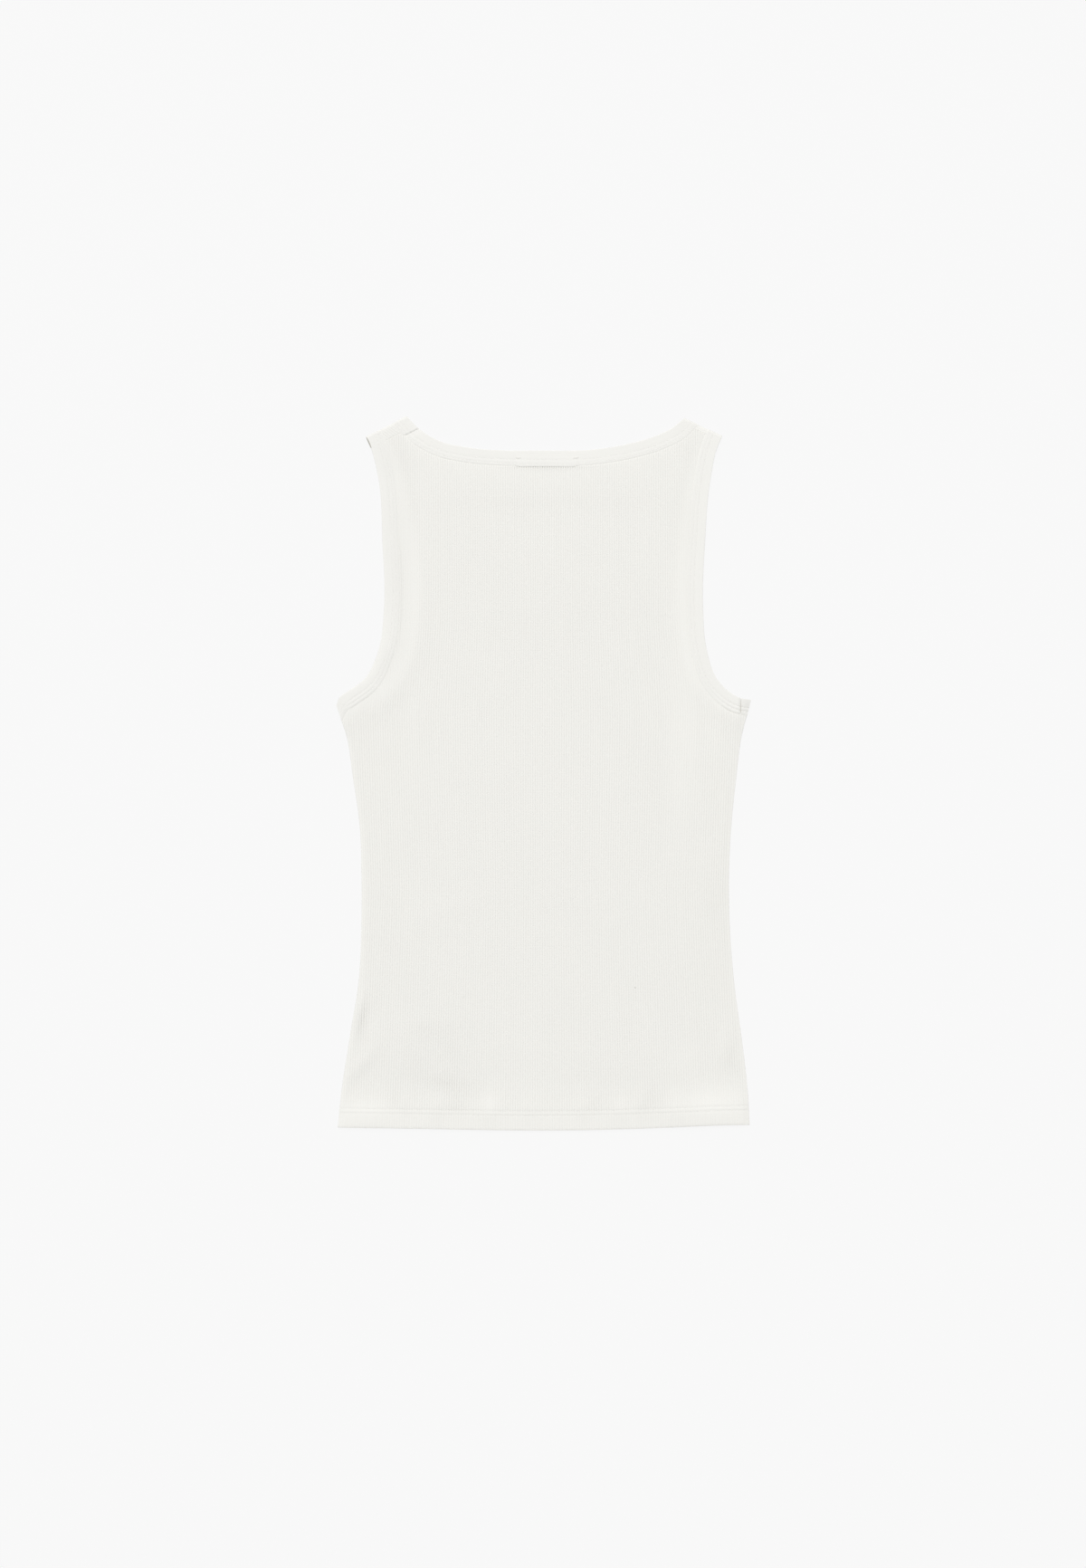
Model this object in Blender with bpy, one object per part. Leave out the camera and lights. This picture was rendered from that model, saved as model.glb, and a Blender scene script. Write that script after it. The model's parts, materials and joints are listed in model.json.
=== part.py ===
"""A fitted tank top in rib knit, laid flat on its face with its two panels on each other.

Frame: +X to the right, +Y towards the shoulders, +Z up. The origin is on the surface, under the
middle of the garment. Sizes are in millimetres, and MM turns them into Blender's metres.

The front panel is the bottom layer. At the shoulders it turns over a fold and ends at a seam on
the upper side, where the back panel, the top layer, begins. The bindings are doubled strips that
run along the raw edges and turn over the same folds.
"""
import math

import bmesh
import bpy
import numpy as np
from mathutils import Vector
from mathutils.geometry import delaunay_2d_cdt

MM = 0.001

# ---- The cloth -------------------------------------------------------------------------------
WALL = 1.0              # one layer of knit, between its ribs
DOUBLED = 1.8           # cloth folded on itself: the turned-up hem and the bindings
GAP = 0.4               # clearance at seams and between layers that lie on each other
BEND_GAP = 0.7          # clearance between a panel and its binding where both turn over a fold
RIB_HEIGHT = 0.35
BINDING_WIDTH = 11.8
PANEL_EDGE = BINDING_WIDTH + GAP    # where a panel begins, from the edge of the garment
HEM_DEPTH = 16.5
EDGE_ROUNDING = 1.2     # how far in the rounding of a panel's outer edge reaches
EDGE_LEFT = 0.7         # share of the wall that is left at the very edge
SOFT_EDGE = 0.8         # rounding of a binding's folded edge
SEWN_EDGE = 0.5         # and of the edge that is sewn to the panel
# Cross-section of a binding: width from its edge, and share of its half thickness outwards
BINDING_SECTION = [(0, -0.4), (0, 0.4), (SOFT_EDGE, 1), (BINDING_WIDTH - SEWN_EDGE, 1),
                   (BINDING_WIDTH, 0.6), (BINDING_WIDTH, -0.6), (BINDING_WIDTH - SEWN_EDGE, -1),
                   (SOFT_EDGE, -1)]

# Distance from one rib to the next, at heights on the garment: (y, pitch)
RIB_PITCH = [(-305, 2.10), (-100, 1.99), (50, 2.06), (130, 1.97), (305, 1.97)]

# ---- The outline -----------------------------------------------------------------------------
# Side seams from above the hem to under the arms: (y, left x, right x)
SIDE_ROWS = [
    (-270, -172.0, 173.5),
    (-223, -164.8, 168.1),
    (-177, -157.5, 161.9),
    (-119, -154.9, 157.9),
    (-85, -155.0, 157.7),
    (-50, -156.1, 159.2),
    (-4, -162.2, 163.7),
    (36, -169.0, 169.3),
]
# Hem edge from corner to corner: (x, y)
HEM_EDGE = [(-175.1, -301.0), (-120, -301.8), (-60, -302.9), (-20, -303.4), (60, -302.6),
            (110, -300.8), (150, -299.1), (175.1, -298.8)]
# The ends of the fold along the top of each shoulder: (x, y)
SHOULDER_ENDS = {"left": {"outer": (-151.3, 286.1), "neck": (-116.7, 303.8)},
                 "right": {"outer": (151.9, 287.0), "neck": (119.5, 302.1)}}
# How far behind the fold each shoulder seam lies
SHOULDER_SEAM = {"left": 11.0, "right": 4.3}

# Neck edges, from the middle of the back to the shoulder and from there to the middle of the
# front: (x, y) as they lie on the surface
NECK_BACK = {
    "left": [(0, 274.5), (-42.8, 274.9), (-65.9, 277.2), (-89, 282.6), (-107.5, 294.1)],
    "right": [(0, 274.5), (38, 274.9), (72.7, 280.3), (95.8, 287.0), (109, 293.4)],
}
NECK_FRONT = {
    "left": [(-112.0, 284), (-103, 265), (-91, 243), (-76, 219), (-55, 193), (-29, 174),
             (0, 167)],
    "right": [(116.5, 283), (106.5, 264), (94, 241), (78, 217), (56, 191.5), (29, 174),
              (0, 167)],
}
# Armhole edges, from the underarm up the back to the shoulder and down the front: (x, y)
ARMHOLE_BACK = {
    "left": [(-176.3, 57.8), (-173.6, 64.7), (-167.2, 69.3), (-151.9, 80.9), (-140.8, 104),
             (-135.8, 142.5), (-137.2, 196.4), (-140.5, 250.3), (-147.0, 276.4)],
    "right": [(176.3, 62.4), (165.7, 64.7), (157.8, 69.3), (146.9, 80.9), (138.8, 104),
              (135.4, 142.5), (137.1, 196.4), (141.8, 250.3), (147.4, 276.4)],
}
ARMHOLE_FRONT = {
    "left": [(-141.5, 269.5), (-135, 252), (-128, 225), (-121, 183), (-120, 142), (-125, 107),
             (-138, 81), (-157, 67), (-171, 62), (-176.3, 57.8)],
    "right": [(144.8, 272), (138.5, 252), (132.5, 225), (128.5, 185), (127.5, 145),
              (130.5, 110), (139, 85), (153, 70), (166, 63.8), (176.3, 62.4)],
}

# ---- How the layers lie ----------------------------------------------------------------------
ON_CLOTH = WALL + GAP               # underside of the top layer over a single wall
ON_DOUBLED = DOUBLED + GAP          # and over a binding or the hem
SHOULDER_MID = ON_DOUBLED + DOUBLED / 2
BEND_RADIUS = (SHOULDER_MID - DOUBLED / 2) / 2
REACH = BEND_RADIUS + DOUBLED / 2   # from the fold's edge to the middle of its bend
PANEL_LIFT = (DOUBLED - WALL) / 2   # a panel meets its binding at half its thickness
LEVEL_NEAR_FOLD = 14                # no slope this near the fold
LEVEL_FADE = 30                     # and the level is left over this length
LIFT_FADE = 12
OVERHANG = 4                        # how far past the front's edges the top layer stays up
SAG_LENGTH = {"neck": 32, "armhole": 14}
RIDGE_FADE = {"neck": 30, "armhole": 18}
HEM_RAMP = 6                        # from the doubled hem to the single wall
HEM_FADE = 22                       # the top layer comes down over this length

# ---- How finely the shape is cut -------------------------------------------------------------
STATION_STEP = 8.0                  # along a binding
SIDE_STEP = 18.0                    # along a side seam
BEND_STEPS = 6
DENSE_STEP = 0.5
CROSS_ROWS = (-170, -50)            # heights of the lines across the ribs
TOUCH = 1e-3                        # points nearer than this are one
FAR = 400                           # well outside the garment

OFF_WHITE = (0.86, 0.85, 0.81, 1.0)
BINDING_WHITE = (0.89, 0.88, 0.85, 1.0)
KNIT_ROUGHNESS = 0.9


# ---- Plane geometry --------------------------------------------------------------------------
def unit(vector):
    return vector / np.linalg.norm(vector)


def ease(value):
    """Smooth step from 0 to 1."""
    value = min(max(value, 0.0), 1.0)
    return value * value * (3 - 2 * value)


def smooth_curve(knots, step):
    """Points about `step` apart on a curve through all the knots, with their directions."""
    knots = np.array(knots, float)
    chords = np.linalg.norm(np.diff(knots, axis=0), axis=1)
    stops = np.concatenate([[0.0], np.cumsum(chords)])
    slopes = np.gradient(knots, stops, axis=0)
    points, directions = [], []
    for index, chord in enumerate(chords):
        start, end = knots[index], knots[index + 1]
        pull_start, pull_end = slopes[index] * chord, slopes[index + 1] * chord
        count = max(1, round(chord / step))
        is_last = index == len(chords) - 1
        for part in range(count + is_last):
            t = part / count
            points.append((2 * t**3 - 3 * t**2 + 1) * start + (t**3 - 2 * t**2 + t) * pull_start
                          + (3 * t**2 - 2 * t**3) * end + (t**3 - t**2) * pull_end)
            directions.append(unit((6 * t**2 - 6 * t) * (start - end)
                                   + (3 * t**2 - 4 * t + 1) * pull_start
                                   + (3 * t**2 - 2 * t) * pull_end))
    return np.array(points), np.array(directions)


def offset_curve(points, distance):
    """The curve moved sideways, to the left of its direction."""
    along = np.gradient(points, axis=0)
    left = np.column_stack([-along[:, 1], along[:, 0]])
    return points + distance * left / np.linalg.norm(left, axis=1)[:, None]


def distance_to(curve, point):
    start, along = curve[:-1], np.diff(curve, axis=0)
    share = ((point - start) * along).sum(axis=1) / (along * along).sum(axis=1)
    nearest = start + np.clip(share, 0, 1)[:, None] * along
    return np.linalg.norm(nearest - point, axis=1).min()


def is_inside(loop, point):
    x, y = loop[:, 0], loop[:, 1]
    next_x, next_y = np.roll(x, -1), np.roll(y, -1)
    spans = (y > point[1]) != (next_y > point[1])
    rise = np.where(next_y == y, 1.0, next_y - y)
    crossings = x + (point[1] - y) * (next_x - x) / rise
    return bool(np.count_nonzero(spans & (crossings > point[0])) % 2)


def inset_loop(loop, distance):
    """A loop that runs counter-clockwise, moved in by `distance`."""
    ahead = np.roll(loop, -1, axis=0) - loop
    ahead /= np.linalg.norm(ahead, axis=1)[:, None]
    normals = np.column_stack([-ahead[:, 1], ahead[:, 0]])
    middle = normals + np.roll(normals, 1, axis=0)
    return loop + 2 * distance * middle / (middle * middle).sum(axis=1)[:, None]


def stretches_inside(loop, line):
    """The stretches of a line of points that lie inside a loop."""
    start, along = loop, np.roll(loop, -1, axis=0) - loop
    stretches, current = [], []
    for first, last in zip(line[:-1], line[1:]):
        step = last - first
        cross = step[0] * along[:, 1] - step[1] * along[:, 0]
        cross = np.where(cross == 0, np.inf, cross)
        gap = start - first
        on_line = (gap[:, 0] * along[:, 1] - gap[:, 1] * along[:, 0]) / cross
        on_loop = (gap[:, 0] * step[1] - gap[:, 1] * step[0]) / cross
        hit = (on_line > 0) & (on_line < 1) & (on_loop >= 0) & (on_loop < 1)
        cuts = [0.0, *sorted(on_line[hit]), 1.0]
        for low, high in zip(cuts[:-1], cuts[1:]):
            if is_inside(loop, first + (low + high) / 2 * step):
                current = current or [first + low * step]
                current.append(first + high * step)
            elif current:
                stretches.append(np.array(current))
                current = []
    if current:
        stretches.append(np.array(current))
    return stretches


# ---- The folds and the bindings' course over them --------------------------------------------
class Fold:
    """The fold along the top of a shoulder. The back lies on one side of it and the front,
    unfolded, on the other, so cloth that crosses it is laid out in one plane."""

    def __init__(self, side):
        ends = SHOULDER_ENDS[side]
        self.side = side
        self.origin = np.array(ends["outer"], float)
        self.along = unit(np.array(ends["neck"]) - self.origin)
        self.out = np.array([-self.along[1], self.along[0]])
        if self.out[1] < 0:
            self.out = -self.out

    def past(self, point):
        """How far a point of the unfolded plane lies past the fold."""
        return (point - self.origin) @ self.out

    def mirror(self, point):
        return point - 2 * np.multiply.outer(self.past(point), self.out)


FOLDS = {side: Fold(side) for side in SHOULDER_ENDS}


def fold_levels(side):
    """Distances past the fold where a binding and the panel beside it both have a station."""
    seam = SHOULDER_SEAM[side]
    bend = [-REACH + 2 * REACH * step / BEND_STEPS for step in range(BEND_STEPS + 1)]
    return [-LEVEL_NEAR_FOLD, -seam - GAP / 2, -seam + GAP / 2, *bend, STATION_STEP, LEVEL_NEAR_FOLD]


class Station:
    """A line across a binding in the unfolded plane: its edge point and its inward vector, as
    long as makes one millimetre of width."""

    def __init__(self, fold, edge, inward):
        self.fold = fold
        self.edge = edge
        self.inward = inward
        self.level = fold.past(edge)

    def at(self, width):
        return self.edge + width * self.inward

    def on_front(self, width):
        return self.fold.mirror(self.at(width))

    def in_bend(self):
        return abs(self.level) < REACH - TOUCH


def binding_stations(fold, back, crossing, front, hand, ends=(None, None)):
    """Stations from the far end of the back edge to where it is `crossing` the fold, and on to
    the far end of the front's. `hand` is 1 where the cloth lies to the left of that way, else -1.
    `ends` are the directions of the first and last stations of a binding that ends in a seam."""
    knots = [*back, crossing, *fold.mirror(np.array(front, float))]
    points, directions = smooth_curve(knots, DENSE_STEP)
    levels = fold.past(points)
    picks = []
    before = np.flatnonzero(levels < -LEVEL_NEAR_FOLD - STATION_STEP / 2)
    after = np.flatnonzero(levels > LEVEL_NEAR_FOLD + STATION_STEP / 2)
    for part in (before, after):
        count = round(len(part) * DENSE_STEP / STATION_STEP)
        picks.append(part[np.round(np.linspace(0, len(part) - 1, count + 1)).astype(int)])
    near = slice(before[-1], after[0] + 1)
    stations = []

    def add(edge, direction, from_start, from_end):
        normal = hand * np.array([-direction[1], direction[0]])
        across = fold.along if fold.along @ normal > 0 else -fold.along
        share = 1 - ease((abs(fold.past(edge)) - LEVEL_NEAR_FOLD) / LEVEL_NEAR_FOLD)
        inward = unit((1 - share) * normal + share * across)
        inward = inward / (inward @ normal)
        for end, away in zip(ends, (from_start, from_end)):
            if end is not None:
                turned = 1 - ease(away / (2 * BINDING_WIDTH))
                inward = (1 - turned) * inward + turned * end
        stations.append(Station(fold, edge, inward))

    for index in picks[0]:
        add(points[index], directions[index], index * DENSE_STEP, np.inf)
    for level in fold_levels(fold.side):
        edge = np.array([np.interp(level, levels[near], points[near, axis]) for axis in (0, 1)])
        way = np.array([np.interp(level, levels[near], directions[near, axis]) for axis in (0, 1)])
        add(edge, unit(way), np.inf, np.inf)
    for index in picks[1]:
        add(points[index], directions[index], np.inf, (len(points) - 1 - index) * DENSE_STEP)
    return stations


def side_end(side):
    """The direction of the side seam, down from the underarm."""
    tip = np.array(ARMHOLE_BACK[side][0])
    row = SIDE_ROWS[-1]
    below = np.array([row[1 if side == "left" else 2], row[0]])
    return unit(below - tip)


def neck_stations(side):
    hand = 1 if side == "left" else -1
    return binding_stations(FOLDS[side], NECK_BACK[side], SHOULDER_ENDS[side]["neck"],
                            NECK_FRONT[side], hand)


def armhole_stations(side):
    fold = FOLDS[side]
    end = side_end(side)
    turned = fold.mirror(fold.origin + end) - fold.mirror(fold.origin)
    hand = -1 if side == "left" else 1
    return binding_stations(fold, ARMHOLE_BACK[side], SHOULDER_ENDS[side]["outer"],
                            ARMHOLE_FRONT[side], hand, (end, turned))


NECK = {side: neck_stations(side) for side in FOLDS}
ARMHOLE = {side: armhole_stations(side) for side in FOLDS}


# ---- Where the edges of the front lie under the back -----------------------------------------
class Opening:
    """A neck or armhole opening of the front panel: its edge and the bare ground beyond it.
    `hand` is 1 where the cloth lies to the left of the edge's way, else -1."""

    def __init__(self, kind, edge, hand, beyond):
        self.kind = kind
        self.edge = edge
        self.hand = hand
        self.ground = np.vstack([edge, beyond])


def front_edge(stations):
    return np.array([station.on_front(0) for station in stations if station.level >= 0])


def neck_opening():
    edge = np.vstack([front_edge(NECK["left"])[:-1], front_edge(NECK["right"])[::-1]])
    return Opening("neck", edge, -1, [(FAR, FAR), (-FAR, FAR)])


def armhole_opening(side):
    edge = front_edge(ARMHOLE[side])
    outer_x = -FAR if side == "left" else FAR
    return Opening("armhole", edge, 1 if side == "left" else -1,
                   [(outer_x, edge[-1][1]), (outer_x, FAR), (edge[0][0], FAR)])


OPENINGS = [neck_opening(), armhole_opening("left"), armhole_opening("right")]

HEM_CURVE = smooth_curve(HEM_EDGE, STATION_STEP)[0]
BACK_EDGES = [np.array([station.at(0) for station in stations if station.level <= 0])
              for stations in (*NECK.values(), *ARMHOLE.values())]


def above_hem(point):
    return point[1] - np.interp(point[0], HEM_CURVE[:, 0], HEM_CURVE[:, 1])


def resting_height(point):
    """How high the top layer's underside lies, away from the shoulders."""
    for opening in OPENINGS:
        if is_inside(opening.ground, point):
            away = distance_to(opening.edge, point) - OVERHANG
            return ON_DOUBLED * (1 - ease(away / SAG_LENGTH[opening.kind]))
    ridges = [1 - ease((above_hem(point) - HEM_DEPTH - HEM_RAMP) / HEM_FADE)]
    for opening in OPENINGS:
        away = distance_to(opening.edge, point) - BINDING_WIDTH - GAP
        ridges.append(1 - ease(away / RIDGE_FADE[opening.kind]))
    return ON_CLOTH + (ON_DOUBLED - ON_CLOTH) * max(ridges)


def near_shoulder(point):
    return max(1 - ease((-fold.past(point) - LEVEL_NEAR_FOLD) / LEVEL_FADE)
               if point[0] * fold.origin[0] > 0 else 0.0 for fold in FOLDS.values())


def binding_height(point):
    """The underside of a binding in the top layer."""
    share = near_shoulder(point)
    return (1 - share) * resting_height(point) + share * ON_DOUBLED


def back_height(point):
    """The underside of the back panel."""
    to_binding = min(distance_to(edge, point) for edge in BACK_EDGES) - BINDING_WIDTH - GAP
    share = near_shoulder(point)
    away = resting_height(point) + PANEL_LIFT * (1 - ease(to_binding / LIFT_FADE))
    return (1 - share) * away + share * (ON_DOUBLED + PANEL_LIFT)


def thickness(point):
    """A panel's wall, doubled at the hem where the cloth is turned up inside."""
    turned_up = 1 - ease((above_hem(point) - HEM_DEPTH) / HEM_RAMP)
    return WALL + (DOUBLED - WALL) * turned_up


def place(fold, point, lift, half, top_height=None):
    """Puts a point of the unfolded plane in its layer. `half` is half the wall in the bottom
    layer, and `lift` is the distance from its middle to the outside of the garment."""
    level = fold.past(point)
    if level >= REACH:
        return (*fold.mirror(point), half - lift)
    if level <= -REACH:
        middle = SHOULDER_MID if top_height is None else top_height(point) + half
        return (*point, middle + lift)
    angle = math.pi * (level + REACH) / (2 * REACH)
    radius = (SHOULDER_MID - half) / 2
    centre = point - (level + REACH) * fold.out
    return (*(centre + fold.out * (radius + lift) * math.sin(angle)),
            half + radius + (radius + lift) * math.cos(angle))


# ---- Ribs ------------------------------------------------------------------------------------
def rib_pitch(height):
    heights, pitches = zip(*RIB_PITCH)
    return np.interp(height, heights, pitches)


def rib_relief(point):
    """Height above the troughs: whole at each crest, nothing halfway to the next."""
    phase = point[0] / rib_pitch(point[1])
    return RIB_HEIGHT * (1 - 2 * abs(phase - round(phase)))


def rib_lines(loop):
    """Crest and trough lines inside a loop."""
    heights = np.array([height for height, _ in RIB_PITCH], float)
    finest = min(pitch for _, pitch in RIB_PITCH)
    widest = math.ceil(np.abs(loop[:, 0]).max() / (finest / 2))
    lines = []
    for index in range(-widest, widest + 1):
        line = np.column_stack([index / 2 * rib_pitch(heights), heights])
        lines += stretches_inside(loop, line)
    return lines


# ---- Meshes ----------------------------------------------------------------------------------
def add_object(name, points, faces, color):
    mesh = bpy.data.meshes.new(name)
    mesh.from_pydata([tuple(c * MM for c in point) for point in points], [], faces)
    solid = bmesh.new()
    solid.from_mesh(mesh)
    bmesh.ops.recalc_face_normals(solid, faces=solid.faces)
    solid.to_mesh(mesh)
    solid.free()
    material = bpy.data.materials.new(name + "_knit")
    material.use_nodes = True
    shader = material.node_tree.nodes["Principled BSDF"]
    shader.inputs["Base Color"].default_value = color
    shader.inputs["Roughness"].default_value = KNIT_ROUGHNESS
    shader.inputs["Metallic"].default_value = 0.0
    mesh.materials.append(material)
    piece = bpy.data.objects.new(name, mesh)
    bpy.context.scene.collection.objects.link(piece)
    return piece


def triangulate(loops, lines):
    """Triangles inside the first loop that keep every loop and line as edges. Returns the points,
    the triangles and, for each point of the first loop, its index."""
    points, edges = [], []
    for path in loops + lines:
        first = len(points)
        points += [Vector(point) for point in path]
        edges += [(index, index + 1) for index in range(first, len(points) - 1)]
        if any(path is loop for loop in loops):
            edges.append((len(points) - 1, first))
    flat, _, triangles, origins, _, _ = delaunay_2d_cdt(points, edges, [], 0, TOUCH)
    flat = [np.array(point) for point in flat]
    kept = [face for face in triangles
            if is_inside(loops[0], sum(flat[corner] for corner in face) / 3)]
    index_of = {source: index for index, sources in enumerate(origins) for source in sources}
    return flat, kept, [index_of[source] for source in range(len(loops[0]))]


def make_panel(name, outline, outer_lines, inner_lines, outer, inner):
    """A closed wall between an outer face with its ribs and a plain inner face. `outer` takes a
    point and whether it lies on the very edge, `inner` takes a point, and both place it."""
    rounded = inset_loop(outline, EDGE_ROUNDING)
    flat, faces, rim = triangulate([outline, rounded], outer_lines(rounded))
    edge = set(rim)
    flat_inside, faces_inside, rim_inside = triangulate([outline], inner_lines(rounded))
    shift = len(flat)
    points = [outer(point, index in edge) for index, point in enumerate(flat)]
    points += [inner(point) for point in flat_inside]
    faces = [tuple(face) for face in faces]
    faces += [tuple(corner + shift for corner in reversed(face)) for face in faces_inside]
    for index in range(len(rim)):
        after = (index + 1) % len(rim)
        faces.append((rim[after], rim[index], rim_inside[index] + shift))
        faces.append((rim[after], rim_inside[index] + shift, rim_inside[after] + shift))
    used = sorted({corner for face in faces for corner in face})
    number = {old: new for new, old in enumerate(used)}
    return add_object(name, [points[old] for old in used],
                      [tuple(number[corner] for corner in face) for face in faces], OFF_WHITE)


def make_binding(name, stations):
    half = DOUBLED / 2
    points = [place(station.fold, station.at(width), share * half, half, binding_height)
              for station in stations for width, share in BINDING_SECTION]
    size = len(BINDING_SECTION)
    faces = []
    for ring in range(len(stations) - 1):
        for corner in range(size):
            here, after = ring * size + corner, ring * size + (corner + 1) % size
            faces.append((here, after, after + size))
            faces.append((here, after + size, here + size))
    last = (len(stations) - 1) * size
    faces.append(tuple(reversed(range(size))))
    faces.append(tuple(range(last, last + size)))
    return add_object(name, points, faces, BINDING_WHITE)


# ---- The panels' outlines and the lines that shape them ---------------------------------------
def side_points(side):
    """Points up a side seam, between the hem's corner and the end of the armhole binding."""
    corner = HEM_CURVE[0 if side == "left" else -1]
    rows = [(row[1 if side == "left" else 2], row[0]) for row in SIDE_ROWS]
    top = ARMHOLE[side][0].at(PANEL_EDGE)
    return smooth_curve([corner, *rows, top], SIDE_STEP)[0][1:-1]


def panel_outline(edge_points):
    """Counter-clockwise: hem, right side, right armhole, neck, left armhole, left side.
    `edge_points` gives a panel's points along a list of stations."""
    return np.array([*HEM_CURVE, *side_points("right"), *edge_points(ARMHOLE["right"]),
                     *edge_points(NECK["right"])[::-1], *edge_points(NECK["left"])[1:],
                     *edge_points(ARMHOLE["left"])[::-1], *side_points("left")[::-1]])


def back_points(stations):
    return [station.at(PANEL_EDGE) for station in stations
            if station.level < -SHOULDER_SEAM[station.fold.side] - GAP / 4]


def front_points(stations):
    """The front's points, from the underarm or the middle of the front to the seam."""
    return [station.on_front(BINDING_WIDTH + (BEND_GAP if station.in_bend() else GAP))
            for station in reversed(stations)
            if station.level > -SHOULDER_SEAM[station.fold.side] + GAP / 4]


def level_lines():
    """Lines across the panel where the top layer's height changes."""
    lines = [np.array([(-FAR, height), (FAR, height)], float) for height in CROSS_ROWS]
    for rise in (HEM_DEPTH, HEM_DEPTH + HEM_RAMP, HEM_DEPTH + HEM_RAMP + HEM_FADE):
        lines.append(HEM_CURVE + (0, rise))
    for opening in OPENINGS:
        for away in (-OVERHANG - SAG_LENGTH[opening.kind], -OVERHANG, PANEL_EDGE,
                     PANEL_EDGE + RIDGE_FADE[opening.kind]):
            lines.append(offset_curve(opening.edge, opening.hand * away))
    return lines


def back_outer_lines(loop):
    crossing = [piece for line in level_lines() for piece in stretches_inside(loop, line)]
    return rib_lines(loop) + crossing


def back_inner_lines(loop):
    return [piece for line in level_lines() for piece in stretches_inside(loop, line)]


def bend_lines(loop):
    """Lines along both folds in the front's own plane, inside a loop."""
    lines = []
    for fold in FOLDS.values():
        for step in range(BEND_STEPS + 1):
            level = -REACH + 2 * REACH * step / BEND_STEPS
            middle = fold.origin + level * fold.out
            line = np.array([middle - FAR * fold.along, middle + FAR * fold.along])
            lines += stretches_inside(loop, line)
    return lines


def front_outer_lines(loop):
    wraps = []
    for line in rib_lines(loop):
        fold = FOLDS["left" if line[0][0] < 0 else "right"]
        over = np.array([fold.origin - FAR * fold.along, fold.origin + FAR * fold.along,
                         fold.origin + FAR * (fold.along + fold.out),
                         fold.origin + FAR * (fold.out - fold.along)])
        wraps += stretches_inside(over, line)
    return bend_lines(loop) + wraps


def front_inner_lines(loop):
    rises = (HEM_DEPTH, HEM_DEPTH + HEM_RAMP)
    hem = [piece for rise in rises for piece in stretches_inside(loop, HEM_CURVE + (0, rise))]
    return bend_lines(loop) + hem


def back_outer(point, on_edge):
    wall = thickness(point)
    top = wall * EDGE_LEFT if on_edge else wall + rib_relief(point)
    return (*point, back_height(point) + top)


def back_inner(point):
    return (*point, back_height(point))


def fold_of(point):
    return FOLDS["left" if point[0] < 0 else "right"]


def front_outer(point, on_edge):
    """Plain on the underside. The ribs stand up where the panel turns over the shoulder."""
    fold = fold_of(point)
    half = WALL / 2
    turned = ease((fold.past(point) + REACH) / (2 * REACH))
    lift = half - WALL * (1 - EDGE_LEFT) if on_edge else half + turned * rib_relief(point)
    return place(fold, fold.mirror(point), lift, half)


def front_inner(point):
    fold = fold_of(point)
    half = WALL / 2
    return place(fold, fold.mirror(point), half - thickness(point), half)


# ---- The garment -----------------------------------------------------------------------------
def neck_loop():
    """The neck binding's stations, from its join at the left shoulder seam round to it again."""
    seam = -SHOULDER_SEAM["left"]
    left_back = [station for station in NECK["left"] if station.level < seam]
    left_front = [station for station in NECK["left"] if station.level > seam]
    return [*left_back[::-1], *NECK["right"][1:], *left_front[::-1][1:]]


def build():
    for piece in list(bpy.data.objects):
        bpy.data.objects.remove(piece, do_unlink=True)
    make_panel("back_panel", panel_outline(back_points), back_outer_lines, back_inner_lines,
               back_outer, back_inner)
    make_panel("front_panel", panel_outline(front_points), front_outer_lines, front_inner_lines,
               front_outer, front_inner)
    make_binding("neck_binding", neck_loop())
    for side in FOLDS:
        make_binding("armhole_binding_" + side, ARMHOLE[side])


build()
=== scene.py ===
"""The looks of a fitted tank top in rib knit, laid flat on its face.

The frame is the part's own: +X to the right, +Y towards the shoulders, +Z up, the origin on the
surface under the middle of the garment. Sizes are in millimetres, and MM turns them into metres.
The panels and bindings are thin shells on the same forms as the part's solids, worked out from the
same sizes, with rounded ribs, rolled edges, sewn channels, stitches and soft creases.
"""
import json
import math
from collections import namedtuple

import bpy
import numpy as np
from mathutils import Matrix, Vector
from mathutils.geometry import delaunay_2d_cdt

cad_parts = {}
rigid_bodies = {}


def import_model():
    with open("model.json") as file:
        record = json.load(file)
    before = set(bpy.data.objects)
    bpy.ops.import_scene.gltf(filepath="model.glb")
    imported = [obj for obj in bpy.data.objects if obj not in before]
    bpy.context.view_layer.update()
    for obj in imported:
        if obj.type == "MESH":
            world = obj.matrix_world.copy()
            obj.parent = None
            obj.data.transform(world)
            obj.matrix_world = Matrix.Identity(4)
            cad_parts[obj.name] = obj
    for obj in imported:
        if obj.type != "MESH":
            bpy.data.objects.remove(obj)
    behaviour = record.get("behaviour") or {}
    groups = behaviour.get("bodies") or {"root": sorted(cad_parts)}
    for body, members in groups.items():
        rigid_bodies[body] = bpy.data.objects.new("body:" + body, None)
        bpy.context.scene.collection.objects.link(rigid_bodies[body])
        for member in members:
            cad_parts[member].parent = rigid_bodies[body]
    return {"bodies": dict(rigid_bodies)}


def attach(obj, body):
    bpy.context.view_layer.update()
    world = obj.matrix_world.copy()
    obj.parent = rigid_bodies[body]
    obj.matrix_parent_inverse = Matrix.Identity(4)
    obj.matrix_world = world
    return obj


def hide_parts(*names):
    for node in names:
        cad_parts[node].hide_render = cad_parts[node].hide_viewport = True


MM = 0.001

# ---- The cloth ----
WALL = 1.0  # one layer of knit, between its ribs
DOUBLED = 1.8  # cloth folded on itself: the turned-up hem and the bindings
GAP = 0.4  # between layers that lie on each other
RIB_HEIGHT = 0.35
RIB_ROUNDNESS = 0.9  # a crest is broader than a sine's
BINDING_WIDTH = {"neck": 12.8, "armhole": 13.4}
TUCKED = 1.0  # how far a panel reaches in under its binding
HEM_DEPTH = 16.5

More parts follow.
